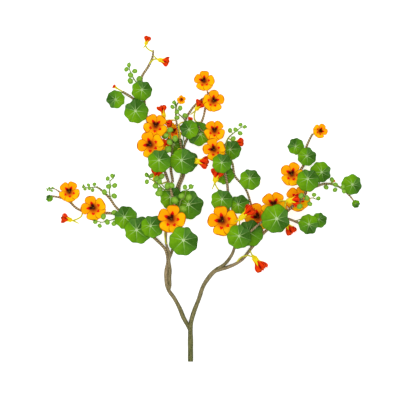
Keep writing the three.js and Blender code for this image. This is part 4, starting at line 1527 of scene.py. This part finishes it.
@dataclass
class Shoot:
    """A young shoot: a thin stem with small round leaves and a dark growing tip."""

    number: int
    stem: Sequence[Place]  # from its root; empty where its branch is its stem
    leaves: Sequence[Place]  # x, y, z, diameter
    tip: Place | None
    branch: str
    thickness: float = 0.4
    grown: float = 1.18  # what the table's leaf diameters are multiplied with
    lean: float = 11.0  # how far the leaves lean, each its own way
    stem_radii: Sequence[float] = (1.4, 1.2, 1.05)
    stalk_radii: tuple[float, float] = (0.6, 0.5)
    tip_radii: Sequence[float] = (0.7, 1.2, 2.0, 2.2, 1.3, 0.3)

    def build(self, shop: Workshop) -> None:
        """Make the shoot as one piece.

        Args:
            shop: the shared finishes, moulds and routes.
        """
        name = f"young_shoot_{self.number:02d}"
        skins = shop.skins
        line = shop.routes[self.branch]
        routes = []
        if self.stem:
            line = Route([line.nearest(self.stem[0]), *self.stem[1:]], self.stem_radii, 1.5)
            routes.append(line)
        pieces = []
        skin = (skins.young_leaf, skins.young_leaf)
        for i, (x, y, z, _) in enumerate(self.leaves):
            foot = line.nearest((x, y))
            gap = np.array((x, y, z)) - foot
            start = foot - gap * (0.2 / max(np.linalg.norm(gap), 0.2))
            under = (x - gap[0] * 0.12, y - gap[1] * 0.12, z - 0.5)
            if np.linalg.norm(gap) > 1.5:
                routes.append(Route([start, (start + under) / 2 + (0, 0, 0.6), under], self.stalk_radii, 1.5))
            shape = partial(self.leaf_shape, index=i)
            pieces.append(shop.moulds[Shell.YOUNG_BLADE].copy(f"{name}_leaf_{i}", shape, skin))
        if self.tip is not None:
            pieces.append(self.bud(shop, f"{name}_tip", line))
        if routes:
            pieces.append(tubes(f"{name}_stalks", routes, skins.shoot_stalk, 6))
        carried(join(name, pieces))

    def leaf_shape(self, points: Points, index: int) -> Points:
        """Round, dome and place one small leaf.

        Args:
            points: its mould's points.
            index: its row in the table.

        Returns:
            The leaf's points.
        """
        x, y, z, size = self.leaves[index]
        seed = 2.7 * self.number + 1.3 * index
        tilt = (self.lean * math.sin(seed), self.lean * math.cos(1.7 * seed))
        share = np.hypot(points[:, 0], points[:, 1])
        angle = np.arctan2(points[:, 1], points[:, 0])
        reach = self.grown * size / 2 * (1 + 0.08 * np.cos(2 * angle + seed) + 0.03 * np.sin(5 * angle))
        height = 0.1 * self.grown * size * (1 - share**2) + points[:, 2] * self.thickness
        flat = np.column_stack([points[:, 0] * reach, points[:, 1] * reach, height])
        return turned(flat, stand((x, y, z), tilt, math.degrees(seed)))

    def bud(self, shop: Workshop, name: str, line: Route) -> Piece:
        """Make the dark, still folded leaf at the tip.

        Args:
            shop: the shared finishes, moulds and routes.
            name: the piece's name.
            line: the stem that it sits on.

        Returns:
            The piece.
        """
        tip = np.array(self.tip, dtype=float)
        foot = line.nearest(tip)
        route = Route([foot, (foot + tip) / 2, tip, tip + (tip - foot) * 0.12], self.tip_radii, 0.8)
        return tubes(name, [route], shop.skins.young_tip, 8)


# ---- the plant's tables ----

BRANCHES = (
    Branch(
        "main_stem",
        ((-25, -326.5, 4.9, 4.6), (-25, -295, 4.8, 4.6), (-25.2, -263, 4.6, 4.4)),
        ages=(1.0, 0.95),
    ),
    Branch(
        "right_branch",
        (
            (-25.4, -269, 4.6, 3.9), (-24.9, -254, 4.2, 4), (-23.2, -244, 3.9, 3.9),
            (-17.8, -225.6, 3.8, 3.8), (-8.2, -200.8, 3.8, 3.8), (-0.6, -177.8, 3.7, 3.7),
            (7, -164.4, 3.7, 3.7), (22.6, -146, 3.6, 3.6), (32, -142.5, 3.3, 3.2), (50.6, -137, 3, 3),
            (67.4, -129.6, 2.8, 2.8), (79.6, -120.6, 2.7, 2.7), (98, -97.6, 2.6, 2.6),
            (118, -73, 2.8, 2.4), (128, -63, 5, 2.4), (150, -42, 12, 2.3), (168.4, -25.6, 18, 2.2),
            (179.2, -15, 22, 2.2), (204.4, 11, 22, 2.1), (203, 30, 14, 2), (195.4, 55.6, 4, 2),
            (200.8, 65.4, 3, 2), (205, 85, 2, 1.9), (207, 102, 1.8, 1.8), (213.2, 118, 2, 1.7),
            (219.6, 129.6, 3, 1.6),
        ),
        "main_stem",
        (0.95, 0.4),
    ),
    Branch(
        "left_branch",
        (
            (-25.2, -266, 4.4, 3.2), (-28.6, -257, 4.2, 3.5), (-38.8, -239, 3.7, 3.7),
            (-46.6, -219.8, 3.6, 3.6), (-58, -198.8, 3.5, 3.4), (-67.6, -185.4, 3.5, 3.3),
            (-72.4, -174, 3.5, 3.1), (-73.8, -158, 3.5, 3.1), (-73.6, -145, 3.4, 3.2),
            (-70.6, -124, 2.5, 2.3), (-72.4, -111, 2.6, 2.4), (-76, -101, 2.7, 2.7),
            (-96, -80, 2.6, 2.6), (-112, -66, 2.6, 2.5), (-130, -52, 2.6, 2.4), (-150, -40, 2.4, 2.3),
            (-180, -30.2, 2.2, 2.1), (-212, -29, 2, 2), (-244.4, -24, 1.9, 1.9),
            (-256.6, -16.8, 1.8, 1.8), (-265.8, -7.6, 1.8, 1.8), (-276, -1, 1.7, 1.7),
            (-287.2, 2, 1.6, 1.5), (-304.6, 5.4, 1.9, 1.2),
        ),
        "right_branch",
        (0.95, 0.32),
    ),
    Branch(
        "left_side_branch",
        (
            (-160, -36, 2.4, 1.9), (-166, -26, 3, 1.9), (-177, -13.8, 3, 1.8), (-185.2, -1.6, 2.5, 1.8),
            (-193.4, 7.6, 2, 1.7), (-203.6, 16.8, 1.8, 1.6), (-212, 22.6, 1.8, 1.5), (-216, 22.8, 2, 1),
            (-234, 22, 3, 0.85), (-239, 27, 4, 0.8),
        ),
        "left_branch",
        (0.5, 0.05),
    ),
    Branch(
        "centre_branch",
        (
            (-69, -183, 3.6, 2.4), (-66.6, -174, 3.6, 2.9), (-67.2, -158, 3.7, 3.1),
            (-66.4, -145, 3.7, 3.2), (-68, -124, 7.2, 2.3), (-66.6, -112, 7.2, 2.2),
            (-70, -102, 6, 2.1), (-73.8, -90, 8, 1.9), (-74.2, -72.6, 11, 1.8), (-71, -50, 14, 1.8),
            (-64, -28, 18, 1.8), (-57, -11.8, 20, 1.8), (-60.6, 2.2, 20, 1.9), (-65.2, 19.8, 17, 1.9),
            (-68.8, 32.2, 10, 2.1), (-75.8, 52.2, 4, 2.2), (-86, 75, 3, 2.1), (-99, 110, 2.5, 2),
            (-112, 158, 2.2, 1.9), (-116, 185, 2, 1.9), (-120, 215, 1.8, 1.9), (-122.8, 242, 1.6, 1.9),
            (-109.6, 264.4, 1.6, 1.9), (-101.8, 281.2, 1.8, 1.8), (-99.2, 297.4, 3, 1.4),
        ),
        "left_branch",
        (0.85, 0.4),
    ),
    Branch(
        "centre_twig",
        (
            (-67.3, 27, 13, 1.6), (-61, 34, 8, 2), (-61.8, 43, 5, 2.1), (-64, 55, 4, 2.2),
            (-64, 75, 6, 1.9), (-62, 92, 13, 1.5), (-61, 104, 23, 1.4), (-64.4, 119.6, 31, 1.2),
            (-66, 131, 33, 1),
        ),
        "centre_branch",
        (0.6, 0.0),
    ),
    Branch(
        "inner_branch",
        (
            (-66.2, -121, 4, 2), (-62.2, -106, 3.2, 2.2), (-58, -88, 2.5, 2.3), (-53, -60, 2.4, 2.2),
            (-50, -35, 2.4, 2.2), (-50, -15, 2.4, 2.1), (-53, 5, 2.4, 2), (-52, 22, 2.4, 1.95),
            (-43, 47.2, 2.4, 1.95), (-41.8, 75, 2.4, 1.9), (-43.5, 102, 5, 1.8), (-46, 117, 13, 1.7),
            (-48, 133.8, 20, 1.6), (-50.5, 142, 20, 1.5), (-52.5, 150, 17, 1.4), (-54.4, 168, 8, 1.4),
            (-54.4, 179, 6, 1.3), (-51.6, 189, 7, 1.2), (-45, 196, 10, 1),
        ),
        "centre_branch",
        (0.88, 0.2),
    ),
    Branch(
        "crown_branch",
        (
            (-52.8, 1, 2.4, 1.7), (-48.3, 10, 2.4, 1.8), (-47, 24, 2.4, 1.95), (-38.2, 47.2, 2.4, 1.95),
            (-37.1, 75, 2.4, 1.9), (-38.6, 100, 2.4, 1.8), (-34, 115, 2.4, 1.8), (-24, 130, 2.4, 1.8),
            (-12, 143, 2.6, 1.8), (-3.4, 153, 2.8, 1.7), (1, 164, 2.6, 1.6), (4, 178, 2, 1.6),
            (8, 196, 1.8, 1.5), (10, 213, 3, 1.4),
        ),
        "inner_branch",
        (0.78, 0.4),
    ),
    Branch(
        "upper_right_branch",
        (
            (19, -150, 3.6, 2.9), (28, -141, 5, 2.9), (36.8, -136, 6.5, 2.8), (46, -128.6, 7.5, 2.7),
            (53.6, -119, 8.5, 2.6), (59, -109.8, 10, 2.6), (63, -98.6, 15, 2.5), (68, -90, 23.6, 2.3),
            (75, -82.4, 28.8, 2.1), (94, -66.4, 29, 1.7), (109, -53.5, 29.6, 1.6), (122, -44, 30, 1.7),
            (137, -39.5, 28, 1.8), (167.6, -40.2, 17, 1.9), (191.6, -48.8, 8, 1.9),
        ),
        "right_branch",
        (0.88, 0.6),
    ),
    Branch(
        "middle_branch",
        (
            (66, -94.5, 14, 2.1), (60, -86, 10, 2.2), (54, -74, 5, 2.2), (51.5, -60, 2.8, 2.1),
            (51, -40, 2.4, 2.1), (51, -10, 3, 2.1), (49.8, 14, 7, 2), (48.4, 29.6, 12, 1.9),
            (44.2, 50.6, 13, 1.8), (40, 66, 12, 1.7), (33, 82, 9, 1.5),
        ),
        "upper_right_branch",
        (0.8, 0.66),
    ),
    Branch(
        "centre_right_branch",
        (
            (120.5, -70, 2.8, 2), (112, -51, 2.4, 2), (103, -32, 2.4, 1.9), (96, -11, 2.2, 1.7),
            (87.6, 14.2, 2.2, 1.6), (79, 27, 2.4, 1.6), (63.8, 45, 4, 1.5), (61, 57.8, 8, 1.6),
            (59.4, 68, 11, 1.8), (55.4, 76, 13, 1.7), (48.6, 83, 14.5, 1.65), (44, 91, 15, 1.6),
            (43.4, 100, 15, 1.6), (45.8, 108.4, 14, 1.4), (50.4, 120.8, 10, 1.15), (64, 133, 6, 0.95),
            (78, 143, 5, 0.9), (86, 143.4, 5, 0.8),
        ),
        "right_branch",
        (0.65, -0.04),
    ),
    Branch(
        "far_right_branch",
        (
            (204.3, 15, 21, 1.9), (216, 20.5, 13, 1.9), (230.2, 25.2, 5, 1.8), (241.8, 29.2, 2.2, 1.7),
            (258, 28.6, 1.7, 1.6), (275.8, 21.6, 1.6, 1.5), (287, 12, 1.6, 1.5), (293.6, 5.6, 1.5, 1.4),
            (300.8, -3.4, 1.5, 1.2), (305.4, -9.6, 2.2, 0.9),
        ),
        "right_branch",
        (0.6, 0.3),
    ),
    Branch(
        "crown_strand",
        (
            (-30, 122, 2.4, 1.7), (-36.4, 150, 2.6, 1.8), (-34, 160, 2.8, 1.8),
            (-25.6, 174.8, 2.2, 1.8), (-14.8, 188.2, 2, 1.7), (0, 200, 2, 1.6), (14, 204, 4, 1.4),
        ),
        "crown_branch",
        (0.6, 0.4),
        node=False,
    ),
    Branch(
        "tip_twig",
        ((-276, -1, 1.7, 1.3), (-286.2, 12.2, 2.4, 1.3), (-298.4, 20.4, 2.6, 0.9)),
        "left_branch",
        (0.5, 0.3),
        node=False,
    ),
    Branch(
        "bud_twig",
        ((-116.5, 188, 2, 1.6), (-136.2, 197.8, 3.6, 2), (-148, 205.8, 4.4, 2), (-161, 213.8, 4.6, 1.8)),
        "centre_branch",
        (0.6, 0.5),
        node=False,
    ),
)

LEAVES = (
    Leaf(1, (-123, 214.6, 17), (-1, -3), 41, (6, 5), "centre_branch", (-117.5, 195)),
    Leaf(2, (-174, 198.4, 12), (1, 0.6), 36.4, (-7, -6), "bud_twig", (-161, 213.8), 135, ((-168, 208, 5),)),
    Leaf(3, (-133, 173, 25), (2, -2), 48, (-4, 6), "centre_branch", (-113, 165), 42),
    Leaf(4, (-26.6, 137.8, 21), (1.2, 0), 37, (5, -4), "crown_branch", (-37, 108), 115, ((-38.5, 126, 11),)),
    Leaf(5, (-8, 129, 11), (-3.8, 0), 47, (-3, 0), "crown_branch", (-15, 140), 110),
    Leaf(
        6, (56.6, 96.4, 8.4), (2.4, -2), 38, (6, -6), "centre_right_branch", (61.5, 55), 0,
        ((60.4, 66, 3.6), (56.6, 80, 2.6)),
    ),
    Leaf(7, (37.2, 69.2, 38), (0, -2.6), 39, (4, 4), "middle_branch", (42, 60)),
    Leaf(8, (44, 47, 7), (0, 0), 38.5, (0, 0), "centre_right_branch", (66, 42), 60, ((57, 46, 2.2),)),
    Leaf(9, (93.4, 37, 16), (0.2, -3.8), 42, (-6, 5), "centre_right_branch", (84.5, 19)),
    Leaf(10, (-87.6, 73.2, 45), (0, -3.4), 46, (5, -4), "centre_branch", (-78, 58), 8),
    Leaf(
        11, (-41.8, 73.8, 30), (1.2, -2.6), 50, (3, 0), "inner_branch", (-44, 44), -36,
        ((-43.5, 49, 13), (-42.5, 56, 22)),
    ),
    Leaf(12, (-34, 74.2, 16), (0, 0), 46, (0, 3), "crown_branch", (-37, 88), -20),
    Leaf(
        13, (-64, 0, 14.5), (1.2, -2.8), 45, (0, 0), "centre_branch", (-73.6, -66), 5,
        ((-72, -40, 9), (-67, -14, 8.5)),
    ),
    Leaf(14, (-30.8, -13, 8.5), (-1.8, -1), 58, (0, 0), "inner_branch", (-50, -26), -40, ((-40, -20, 3),)),
    Leaf(15, (-40.4, -85.4, 45), (-1.6, -2.4), 57.5, (-7, 5), "inner_branch", (-60, -96), -38),
    Leaf(16, (-154, -39.4, 11), (3.2, -2.4), 46, (0, -4), "left_branch", (-160, -37), 55),
    Leaf(17, (-130, -64.4, 18), (3, -1.4), 54, (0, -3), "left_branch", (-127, -54), 10),
    Leaf(18, (-102, -56.8, 27), (3, -2.4), 45, (0, -3), "left_branch", (-97, -79), 0, ((-96.5, -67, 16),)),
    Leaf(19, (37.2, -5, 16), (-0.6, -3.8), 44, (-5, -4), "middle_branch", (51, -9)),
    Leaf(20, (73.2, -12.8, 13), (3, -1), 38, (-4, 3), "centre_right_branch", (94, -5), 15),
    Leaf(21, (70.8, -77, 36), (-1.4, -2.4), 48, (4, -6), "upper_right_branch", (61, -103), -25),
    Leaf(22, (93, -71, 24), (2.6, -5), 53, (0, 0), "right_branch", (96, -100), 15, ((94, -90, 2.8),)),
    Leaf(23, (142.8, -40, 44), (-4.2, 0.4), 57, (4, 6), "upper_right_branch", (134, -40), -72),
    Leaf(24, (210.4, -50.6, 20), (-1.2, 1), 40, (-6, 5), "upper_right_branch", (190, -48), -110),
    Leaf(
        25, (232, -43.6, 9), (0, -1.8), 30, (5, -4), "upper_right_branch", (184, -46), -35,
        ((200, -40, 5), (218, -38, 4)),
    ),
    Leaf(26, (208.4, 35, 36), (-0.4, -4.4), 45, (5, -4), "right_branch", (203.5, 27)),
    Leaf(27, (234, 53.2, 15), (-3.4, 0.6), 42, (-5, -5), "far_right_branch", (232, 26), -80),
    Leaf(28, (206.8, 83.2, 20), (-0.6, -1.8), 37, (6, 5), "right_branch", (202, 72), -35),
    Leaf(29, (186.4, 103.6, 11), (1.6, -1), 33, (0, 6), "right_branch", (206.5, 98), 75),
    Leaf(30, (296.4, 28, 13), (-2.8, 0.2), 40.5, (4, 5), "far_right_branch", (282, 17), -65),
    Leaf(31, (-58.5, 108, 3.2), (0, 0), 38, (0, 0), "crown_branch", (-38.6, 100), 60, node=False),
    Leaf(32, (305.8, -10.4, 3.6), (0, 0), 16, (0, 0), "far_right_branch", (304, -8), -110, node=False),
    Leaf(33, (-307.2, 0.2, 3.4), (0, 0), 14, (0, 0), "left_branch", (-303, 3), 90, node=False),
)

OPEN_FLOWERS = (
    OpenFlower(1, (2.4, 235.6, 16), 41.5, 35, (-8, 4), "crown_branch", (10, 211), brown_stalk=True),
    OpenFlower(2, (21.2, 195, 18), 44, -39, (5, 6), "crown_branch", (6, 186)),
    OpenFlower(3, (-94.8, 145.2, 31), 49, -8, (4, -3), "centre_branch", (-107, 140)),
    OpenFlower(4, (-105, 107, 38), 54, 57, (0, -4), "centre_branch", (-94, 97)),
    OpenFlower(5, (-59.5, 134.8, 14), 35, -12, (0, 0), "inner_branch", (-46, 118)),
    OpenFlower(
        6, (23.2, 135.6, 22), 43, 0, (0, 5), "crown_branch", (-3.4, 153),
        ((-7, 147, 9), (-7.5, 141, 13.5), (2, 133.2, 14.5), (14, 130, 14)), brown_stalk=True,
    ),
    OpenFlower(7, (22, 97.6, 30), 45.5, 51, (3, 0), "middle_branch", (35, 78)),
    OpenFlower(8, (-267.6, 14, 18), 43, 9, (-6, -4), "left_branch", (-262, -12)),
    OpenFlower(9, (-219.4, -19, 17), 51, 58, (4, -5), "left_branch", (-205, -29.2)),
    OpenFlower(
        10, (-63, -41, 35), 57, 27, (0, 0), "centre_branch", (-72.4, -97),
        ((-75.5, -82, 13), (-76, -66, 20)),
    ),
    OpenFlower(11, (39.2, -44.8, 28), 61, 49, (-4, 4), "middle_branch", (51.5, -64)),
    OpenFlower(12, (110, -37, 20), 56, 52, (0, 0), "centre_right_branch", (100, -23)),
    OpenFlower(13, (141.4, -12.4, 31), 53, 10, (0, 3), "right_branch", (153, -39)),
    OpenFlower(14, (177.6, 48.6, 24), 48, 20, (0, 0), "right_branch", (197, 49)),
    OpenFlower(15, (189, -0.6, 15), 51, 8, (0, 0), "right_branch", (166, -28), ((172, -14, 5),)),
    OpenFlower(16, (234.8, 135.4, 14), 30, -63, (-6, 6), "right_branch", (219, 128.5)),
    OpenFlower(17, (-43.2, 197.6, 15), 18, -30, (0, 0), "inner_branch", (-45, 196), node=False),
)

CLOSED_FLOWERS = (
    ClosedFlower(
        1, (-248, -50, 3), (-265, -43, 5.6), (-282, -38, 9.6), 9.4,
        ((-241, -25, 1.9), (-244, -36, 2.4), (-257, -43, 3.6)), "closed_flower_01",
    ),
    ClosedFlower(
        2, (93.4, -103.6, 10), (103, -119.4, 11), (119.6, -142.4, 13.2), 13,
        ((65.2, -130.6, 2.8), (76, -118, 9.5), (88, -114, 11.5), (99, -116, 11.5)), "closed_flower_02",
    ),
    ClosedFlower(
        3, (-119.4, 301.6, 4.5), (-114, 310, 6.5), (-110, 324, 9), 7.4,
        ((-99.2, 294.5, 2.8), (-106, 296.5, 4), (-112, 301, 4.8)),
    ),
    ClosedFlower(
        4, (-99, 286.2, 8), (-87, 277.4, 9), (-69, 272.5, 10.5), 9.5,
        ((-109, 265, 1.8), (-104, 274, 6), (-96, 279, 8)),
    ),
    ClosedFlower(
        5, (-76, 156, 12), (-78, 164, 13), (-83.3, 185, 16), 9.2,
        ((-111, 152, 2.4), (-102, 155, 9), (-86, 159, 12)), neck=0.5,
    ),
    ClosedFlower(
        6, (-84, 158, 16), (-80, 152, 17.5), (-63, 149.4, 22), 7.2,
        ((-53.8, 157, 11.5), (-60, 156.6, 14), (-72, 156.2, 15)),
    ),
    ClosedFlower(
        7, (-30, 77, 22.5), (-14, 75, 23.5), (9.6, 70.4, 26), 12.6,
        ((-43.4, 100, 4.6), (-50, 98, 13), (-48, 90, 21), (-38, 80, 22.5)),
    ),
    ClosedFlower(
        8, (-25, 168, 5), (-13, 179, 8), (-3, 193.5, 12.5), 9.6,
        ((-4, 152.4, 3), (-14, 154, 6), (-17.6, 163, 6)),
    ),
    ClosedFlower(
        9, (164, -44, 10), (168, -52.4, 10.4), (179, -69.4, 11.4), 11.2,
        ((163, -39.8, 18.6), (161, -42, 15), (163, -46, 11.4)), neck=0.12,
    ),
    ClosedFlower(
        10, (62.8, -45.6, 34), (75.6, -39, 34.6), (99, -18.4, 37), 12.4,
        ((77, -80, 28.4), (74.5, -62, 30.5), (72.6, -52, 33), (72.6, -42, 34.4)), neck=0.44,
    ),
    ClosedFlower(
        11, (151.4, -4.8, 38.5), (171, -4.6, 36.5), (191.6, -4.6, 35), 12.8,
        ((153, -39.6, 22.8), (157.5, -36, 29), (161.5, -28, 34), (163, -14, 36.5)),
    ),
    ClosedFlower(
        12, (18.2, 18.4, 14), (24.6, 36, 16), (30, 56.8, 19.5), 12.6,
        ((50.6, 2, 5), (42, 9, 8), (33.6, 14.6, 11), (27.6, 22, 14)),
    ),
    ClosedFlower(
        13, (49, 105, 2.2), (63, 111.5, 3.6), (80, 113.6, 7.2), 8.9,
        ((50, 119.5, 10.4), (54, 119, 6), (58, 114.5, 3.6)),
    ),
    ClosedFlower(
        14, (-169, 218.5, 4.8), (-173.5, 221.5, 5.4), (-179.6, 225.6, 6.4), 3.8,
        ((-160, 213.2, 4.6), (-165, 216.5, 4.8)),
    ),
    ClosedFlower(
        15, (-31, 140, 11), (-28, 149, 12), (-24.4, 162, 13), 4.6,
        ((-46, 117, 13), (-45.6, 128, 21.5), (-48.6, 145, 22.5), (-46, 149.4, 19), (-38.5, 152.6, 14)),
    ),
    ClosedFlower(
        16, (-97, 22, 12), (-95.4, 38, 13.5), (-90.5, 61, 16), 12.6,
        ((-70, 34, 9), (-82, 30, 10), (-92, 29, 11)),
    ),
    ClosedFlower(17, (257, 30, 4), (260, 33, 5), (263.5, 36.5, 6), 2.6, ((255, 28.6, 1.8), (256, 29.5, 3))),
    ClosedFlower(
        18, (-82, 84, 18), (-77, 98, 21), (-71, 116, 25), 8.6,
        ((-91.4, 88, 3), (-90, 86, 10), (-84, 88, 17)),
    ),
)

SHOOTS = (
    Shoot(
        1,
        ((-121.5, 228, 1.7), (-133.4, 232.8, 3.5), (-142, 246, 5), (-147.4, 259, 6)),
        (
            (-127.4, 238.6, 7, 11), (-145.6, 235.2, 8, 10), (-145, 246.8, 9, 9.5),
            (-136.4, 255, 9, 8.5), (-153.2, 258.4, 9, 8), (-148.2, 267.2, 9, 7.5),
        ),
        (-147.4, 272, 8),
        "centre_branch",
    ),
    Shoot(
        2,
        ((-36.4, 157, 2.8), (-39.5, 161, 7), (-50.2, 171.2, 12.5), (-54, 181, 13)),
        (
            (-35.8, 166, 10, 9), (-52, 161.4, 14, 8.5), (-52.2, 173, 15.5, 8), (-45.6, 180.8, 14, 8.5),
            (-61, 183.2, 14, 7.5), (-57.6, 192, 14, 7),
        ),
        (-57.2, 196, 13),
        "crown_strand",
    ),
    Shoot(
        3,
        (),
        (
            (60.4, 119.4, 11, 9), (54, 136.2, 10, 8), (65.2, 137.6, 9, 8), (74.4, 130.6, 8, 8),
            (75, 147.6, 8, 7), (83.4, 143.4, 8, 6.5),
        ),
        (88, 143.4, 6),
        "centre_right_branch",
    ),
    Shoot(
        4,
        ((-297.6, 20, 2.6), (-304, 20.2, 3.6), (-312, 18.8, 4.4)),
        (
            (-301, 21.8, 6, 3.6), (-302.8, 15.2, 6, 4), (-306.6, 16.8, 6, 3.4), (-307.8, 21.4, 6, 3.6),
            (-311.2, 16.8, 6, 3.2), (-312.6, 19.4, 6, 2.6),
        ),
        None,
        "tip_twig",
    ),
    Shoot(
        5,
        (),
        (
            (-217.4, 28.6, 5, 6.5), (-220.8, 16.8, 5, 6.5), (-227.6, 20.4, 6, 6), (-229.2, 27, 6, 6),
            (-236.2, 18.8, 6, 5.5), (-239.6, 23.4, 6, 5),
        ),
        (-240.8, 27.5, 5),
        "left_side_branch",
    ),
    Shoot(
        6,
        ((-185.2, -1.6, 2.5), (-187.2, 15.8, 5), (-185.2, 26, 6.5), (-186.2, 34.2, 7), (-179, 41.2, 7)),
        (
            (-197.4, 12.8, 7, 9.5), (-177.6, 5, 6, 9.5), (-188.8, 24, 9, 9), (-176.6, 26, 9, 9),
            (-190.8, 39.8, 9, 7.5), (-181.6, 45.4, 9, 7.5),
        ),
        (-177, 48.5, 8),
        "left_side_branch",
    ),
    Shoot(
        7,
        ((-170, -31.4, 2.2), (-177, -40.5, 5), (-188.2, -44.4, 11), (-203.6, -47.4, 14), (-212.8, -44.4, 16)),
        (
            (-177, -28.2, 6, 10), (-178, -50, 8, 9), (-199, -36.2, 20.5, 9.5), (-191.4, -47, 14, 9.5),
            (-206.6, -54.6, 15, 7.5), (-215.2, -47, 18, 7.5),
        ),
        (-219.6, -44, 18),
        "left_branch",
    ),
    Shoot(
        8,
        ((-64.5, 17, 17.5), (-76, 17, 21), (-92, 31, 22), (-106, 39, 22)),
        (
            (-71, 25.4, 23, 10.5), (-85.8, 17, 23, 10), (-95, 25, 24, 10), (-91.2, 39, 25, 10.5),
            (-103, 45.4, 24, 8), (-112.2, 33.4, 23, 8), (-112.4, 47, 23, 8),
        ),
        (-113.4, 51.4, 22),
        "centre_branch",
    ),
    Shoot(
        9,
        ((-66, 21.5, 16.5), (-75.2, 21.6, 21.5), (-84, 30, 23)),
        ((-62.6, 26.2, 24.5, 10), (-88, 10.6, 25.5, 12), (-82, 44.2, 27.5, 9.5), (-86.8, 33.6, 28.5, 9)),
        None,
        "centre_branch",
    ),
    Shoot(
        10,
        (),
        (
            (-70, 97.8, 33, 11.5), (-55.6, 119.6, 34, 10), (-66.8, 112.2, 35, 9.5),
            (-73.2, 125.8, 35, 8), (-65.6, 136.6, 37, 9.5), (-75.4, 126.5, 24, 13),
        ),
        (-63.6, 141.5, 36),
        "centre_twig",
    ),
    Shoot(
        11,
        ((-60, -20, 19), (-48.6, -17, 21), (-44.4, -4, 21), (-36.8, 3.6, 21), (-34, 15, 18), (-29, 18.4, 16)),
        (
            (-56.4, -3.4, 26, 12), (-40.2, -20.8, 24, 12), (-43, 5, 24, 10), (-28.2, 2.2, 23, 10.5),
            (-36, 22.6, 20, 8.5), (-24, 24, 18, 8.5),
        ),
        (-18.6, 26, 16),
        "centre_branch",
    ),
    Shoot(
        12,
        ((193, -1, 22), (196.5, -3, 30), (206, -1.6, 31), (218.6, 1, 29), (226, -1.6, 28)),
        (
            (192.8, -15.8, 43, 9.5), (195.4, 5.6, 43, 9), (207, 1.2, 36, 9), (213.2, -10.6, 31, 8.5),
            (221.6, 7.4, 31, 7.5), (230.2, 0.2, 30, 7.5),
        ),
        (233.4, -2.4, 29),
        "right_branch",
    ),
    Shoot(
        13,
        ((249, 28.8, 2), (256, 30.5, 4.5), (266.8, 25.2, 5.5), (278, 21, 5.5)),
        (
            (258, 37.8, 7.5, 8), (246.4, 22.6, 7, 8.5), (265, 27.8, 8, 8), (264.2, 17.2, 7, 8),
            (279.8, 23.6, 17, 8), (281.5, 14.5, 16.5, 7.6),
        ),
        None,
        "far_right_branch",
    ),
)


# ---- the studio ----


@dataclass(frozen=True)
class Paper(Finish):
    """Matt white paper, with a faint cloudiness."""

    relief: float = 0.02
    light: str = "fbfbfb"
    dark: str = "f4f4f4"

    def pattern(self, tree: Tree) -> tuple[Source, Source]:
        """Draw the cloudiness."""
        stops = [(0.3, self.dark), (0.7, self.light)]
        return add(tree, "ValToRGB", {0: mottle(tree, 80.0)}, stops), mottle(tree, 1.0)


@dataclass
class Studio:
    """The pale surface, the soft lights and the camera that looks straight down."""

    surface_size: float = 30.0  # metres
    surface_glow: float = 0.6
    sky: float = 0.92  # strength of the even light from all round
    lamp_size: float = 2.5  # metres
    lamp_at: Place = (-1.6, 1.8, 3.0)  # metres
    lamp_energy: float = 24.0
    look_at: Place = (-2.0, -14.0, 12.0)
    distance: float = 8000.0
    height_seen: float = 822.0
    sensor: float = 36.0
    far: float = 100.0  # metres, up to which the camera sees

    def build(self) -> None:
        """Make surface, lights and camera."""
        bpy.context.scene.view_settings.view_transform = "Standard"
        self.surface()
        self.lights()
        self.camera()

    def surface(self) -> None:
        """Make the surface that the plant lies on."""
        deselect()
        bpy.ops.mesh.primitive_plane_add(size=self.surface_size, location=(0, 0, 0))
        floor = bpy.context.view_layer.objects.active
        floor.name = "pale_surface"
        paper = Paper("white_paper", roughness=0.9, specular=0.1).build()
        shader = paper.node_tree.nodes["Principled BSDF"]
        shader.inputs["Emission Color"].default_value = grey(1.0)
        shader.inputs["Emission Strength"].default_value = self.surface_glow
        floor.data.materials.append(paper)

    def lights(self) -> None:
        """Add a wide soft key light and an even light from all round."""
        world = bpy.data.worlds.new("studio")
        world.use_nodes = True
        sky = world.node_tree.nodes["Background"]
        sky.inputs["Color"].default_value = grey(1.0)
        sky.inputs["Strength"].default_value = self.sky
        bpy.context.scene.world = world
        key = bpy.data.lights.new("key", "AREA")
        key.shape = "SQUARE"
        key.size = self.lamp_size
        key.energy = self.lamp_energy
        lamp = bpy.data.objects.new("key", key)
        lamp.location = self.lamp_at
        lamp.rotation_euler = (-lamp.location).to_track_quat("-Z", "Y").to_euler()
        lamp.visible_camera = False
        bpy.context.collection.objects.link(lamp)

    def camera(self) -> None:
        """Hang the camera high above the plant, with a long lens."""
        lens = bpy.data.cameras.new("camera")
        lens.sensor_width = self.sensor
        lens.lens = self.sensor * self.distance / self.height_seen
        lens.clip_end = self.far
        eye = bpy.data.objects.new("camera", lens)
        x, y, z = self.look_at
        eye.location = Vector((x, y, z + self.distance)) * MM
        bpy.context.collection.objects.link(eye)
        bpy.context.scene.camera = eye


def main() -> None:
    """Build the studio and the plant, in order."""
    logging.basicConfig(level=logging.INFO, format="%(message)s")
    Studio().build()
    shop = Workshop()
    for group in (BRANCHES, LEAVES, OPEN_FLOWERS, CLOSED_FLOWERS, SHOOTS):
        for part in group:
            part.build(shop)


if __name__ == "__main__":
    main()
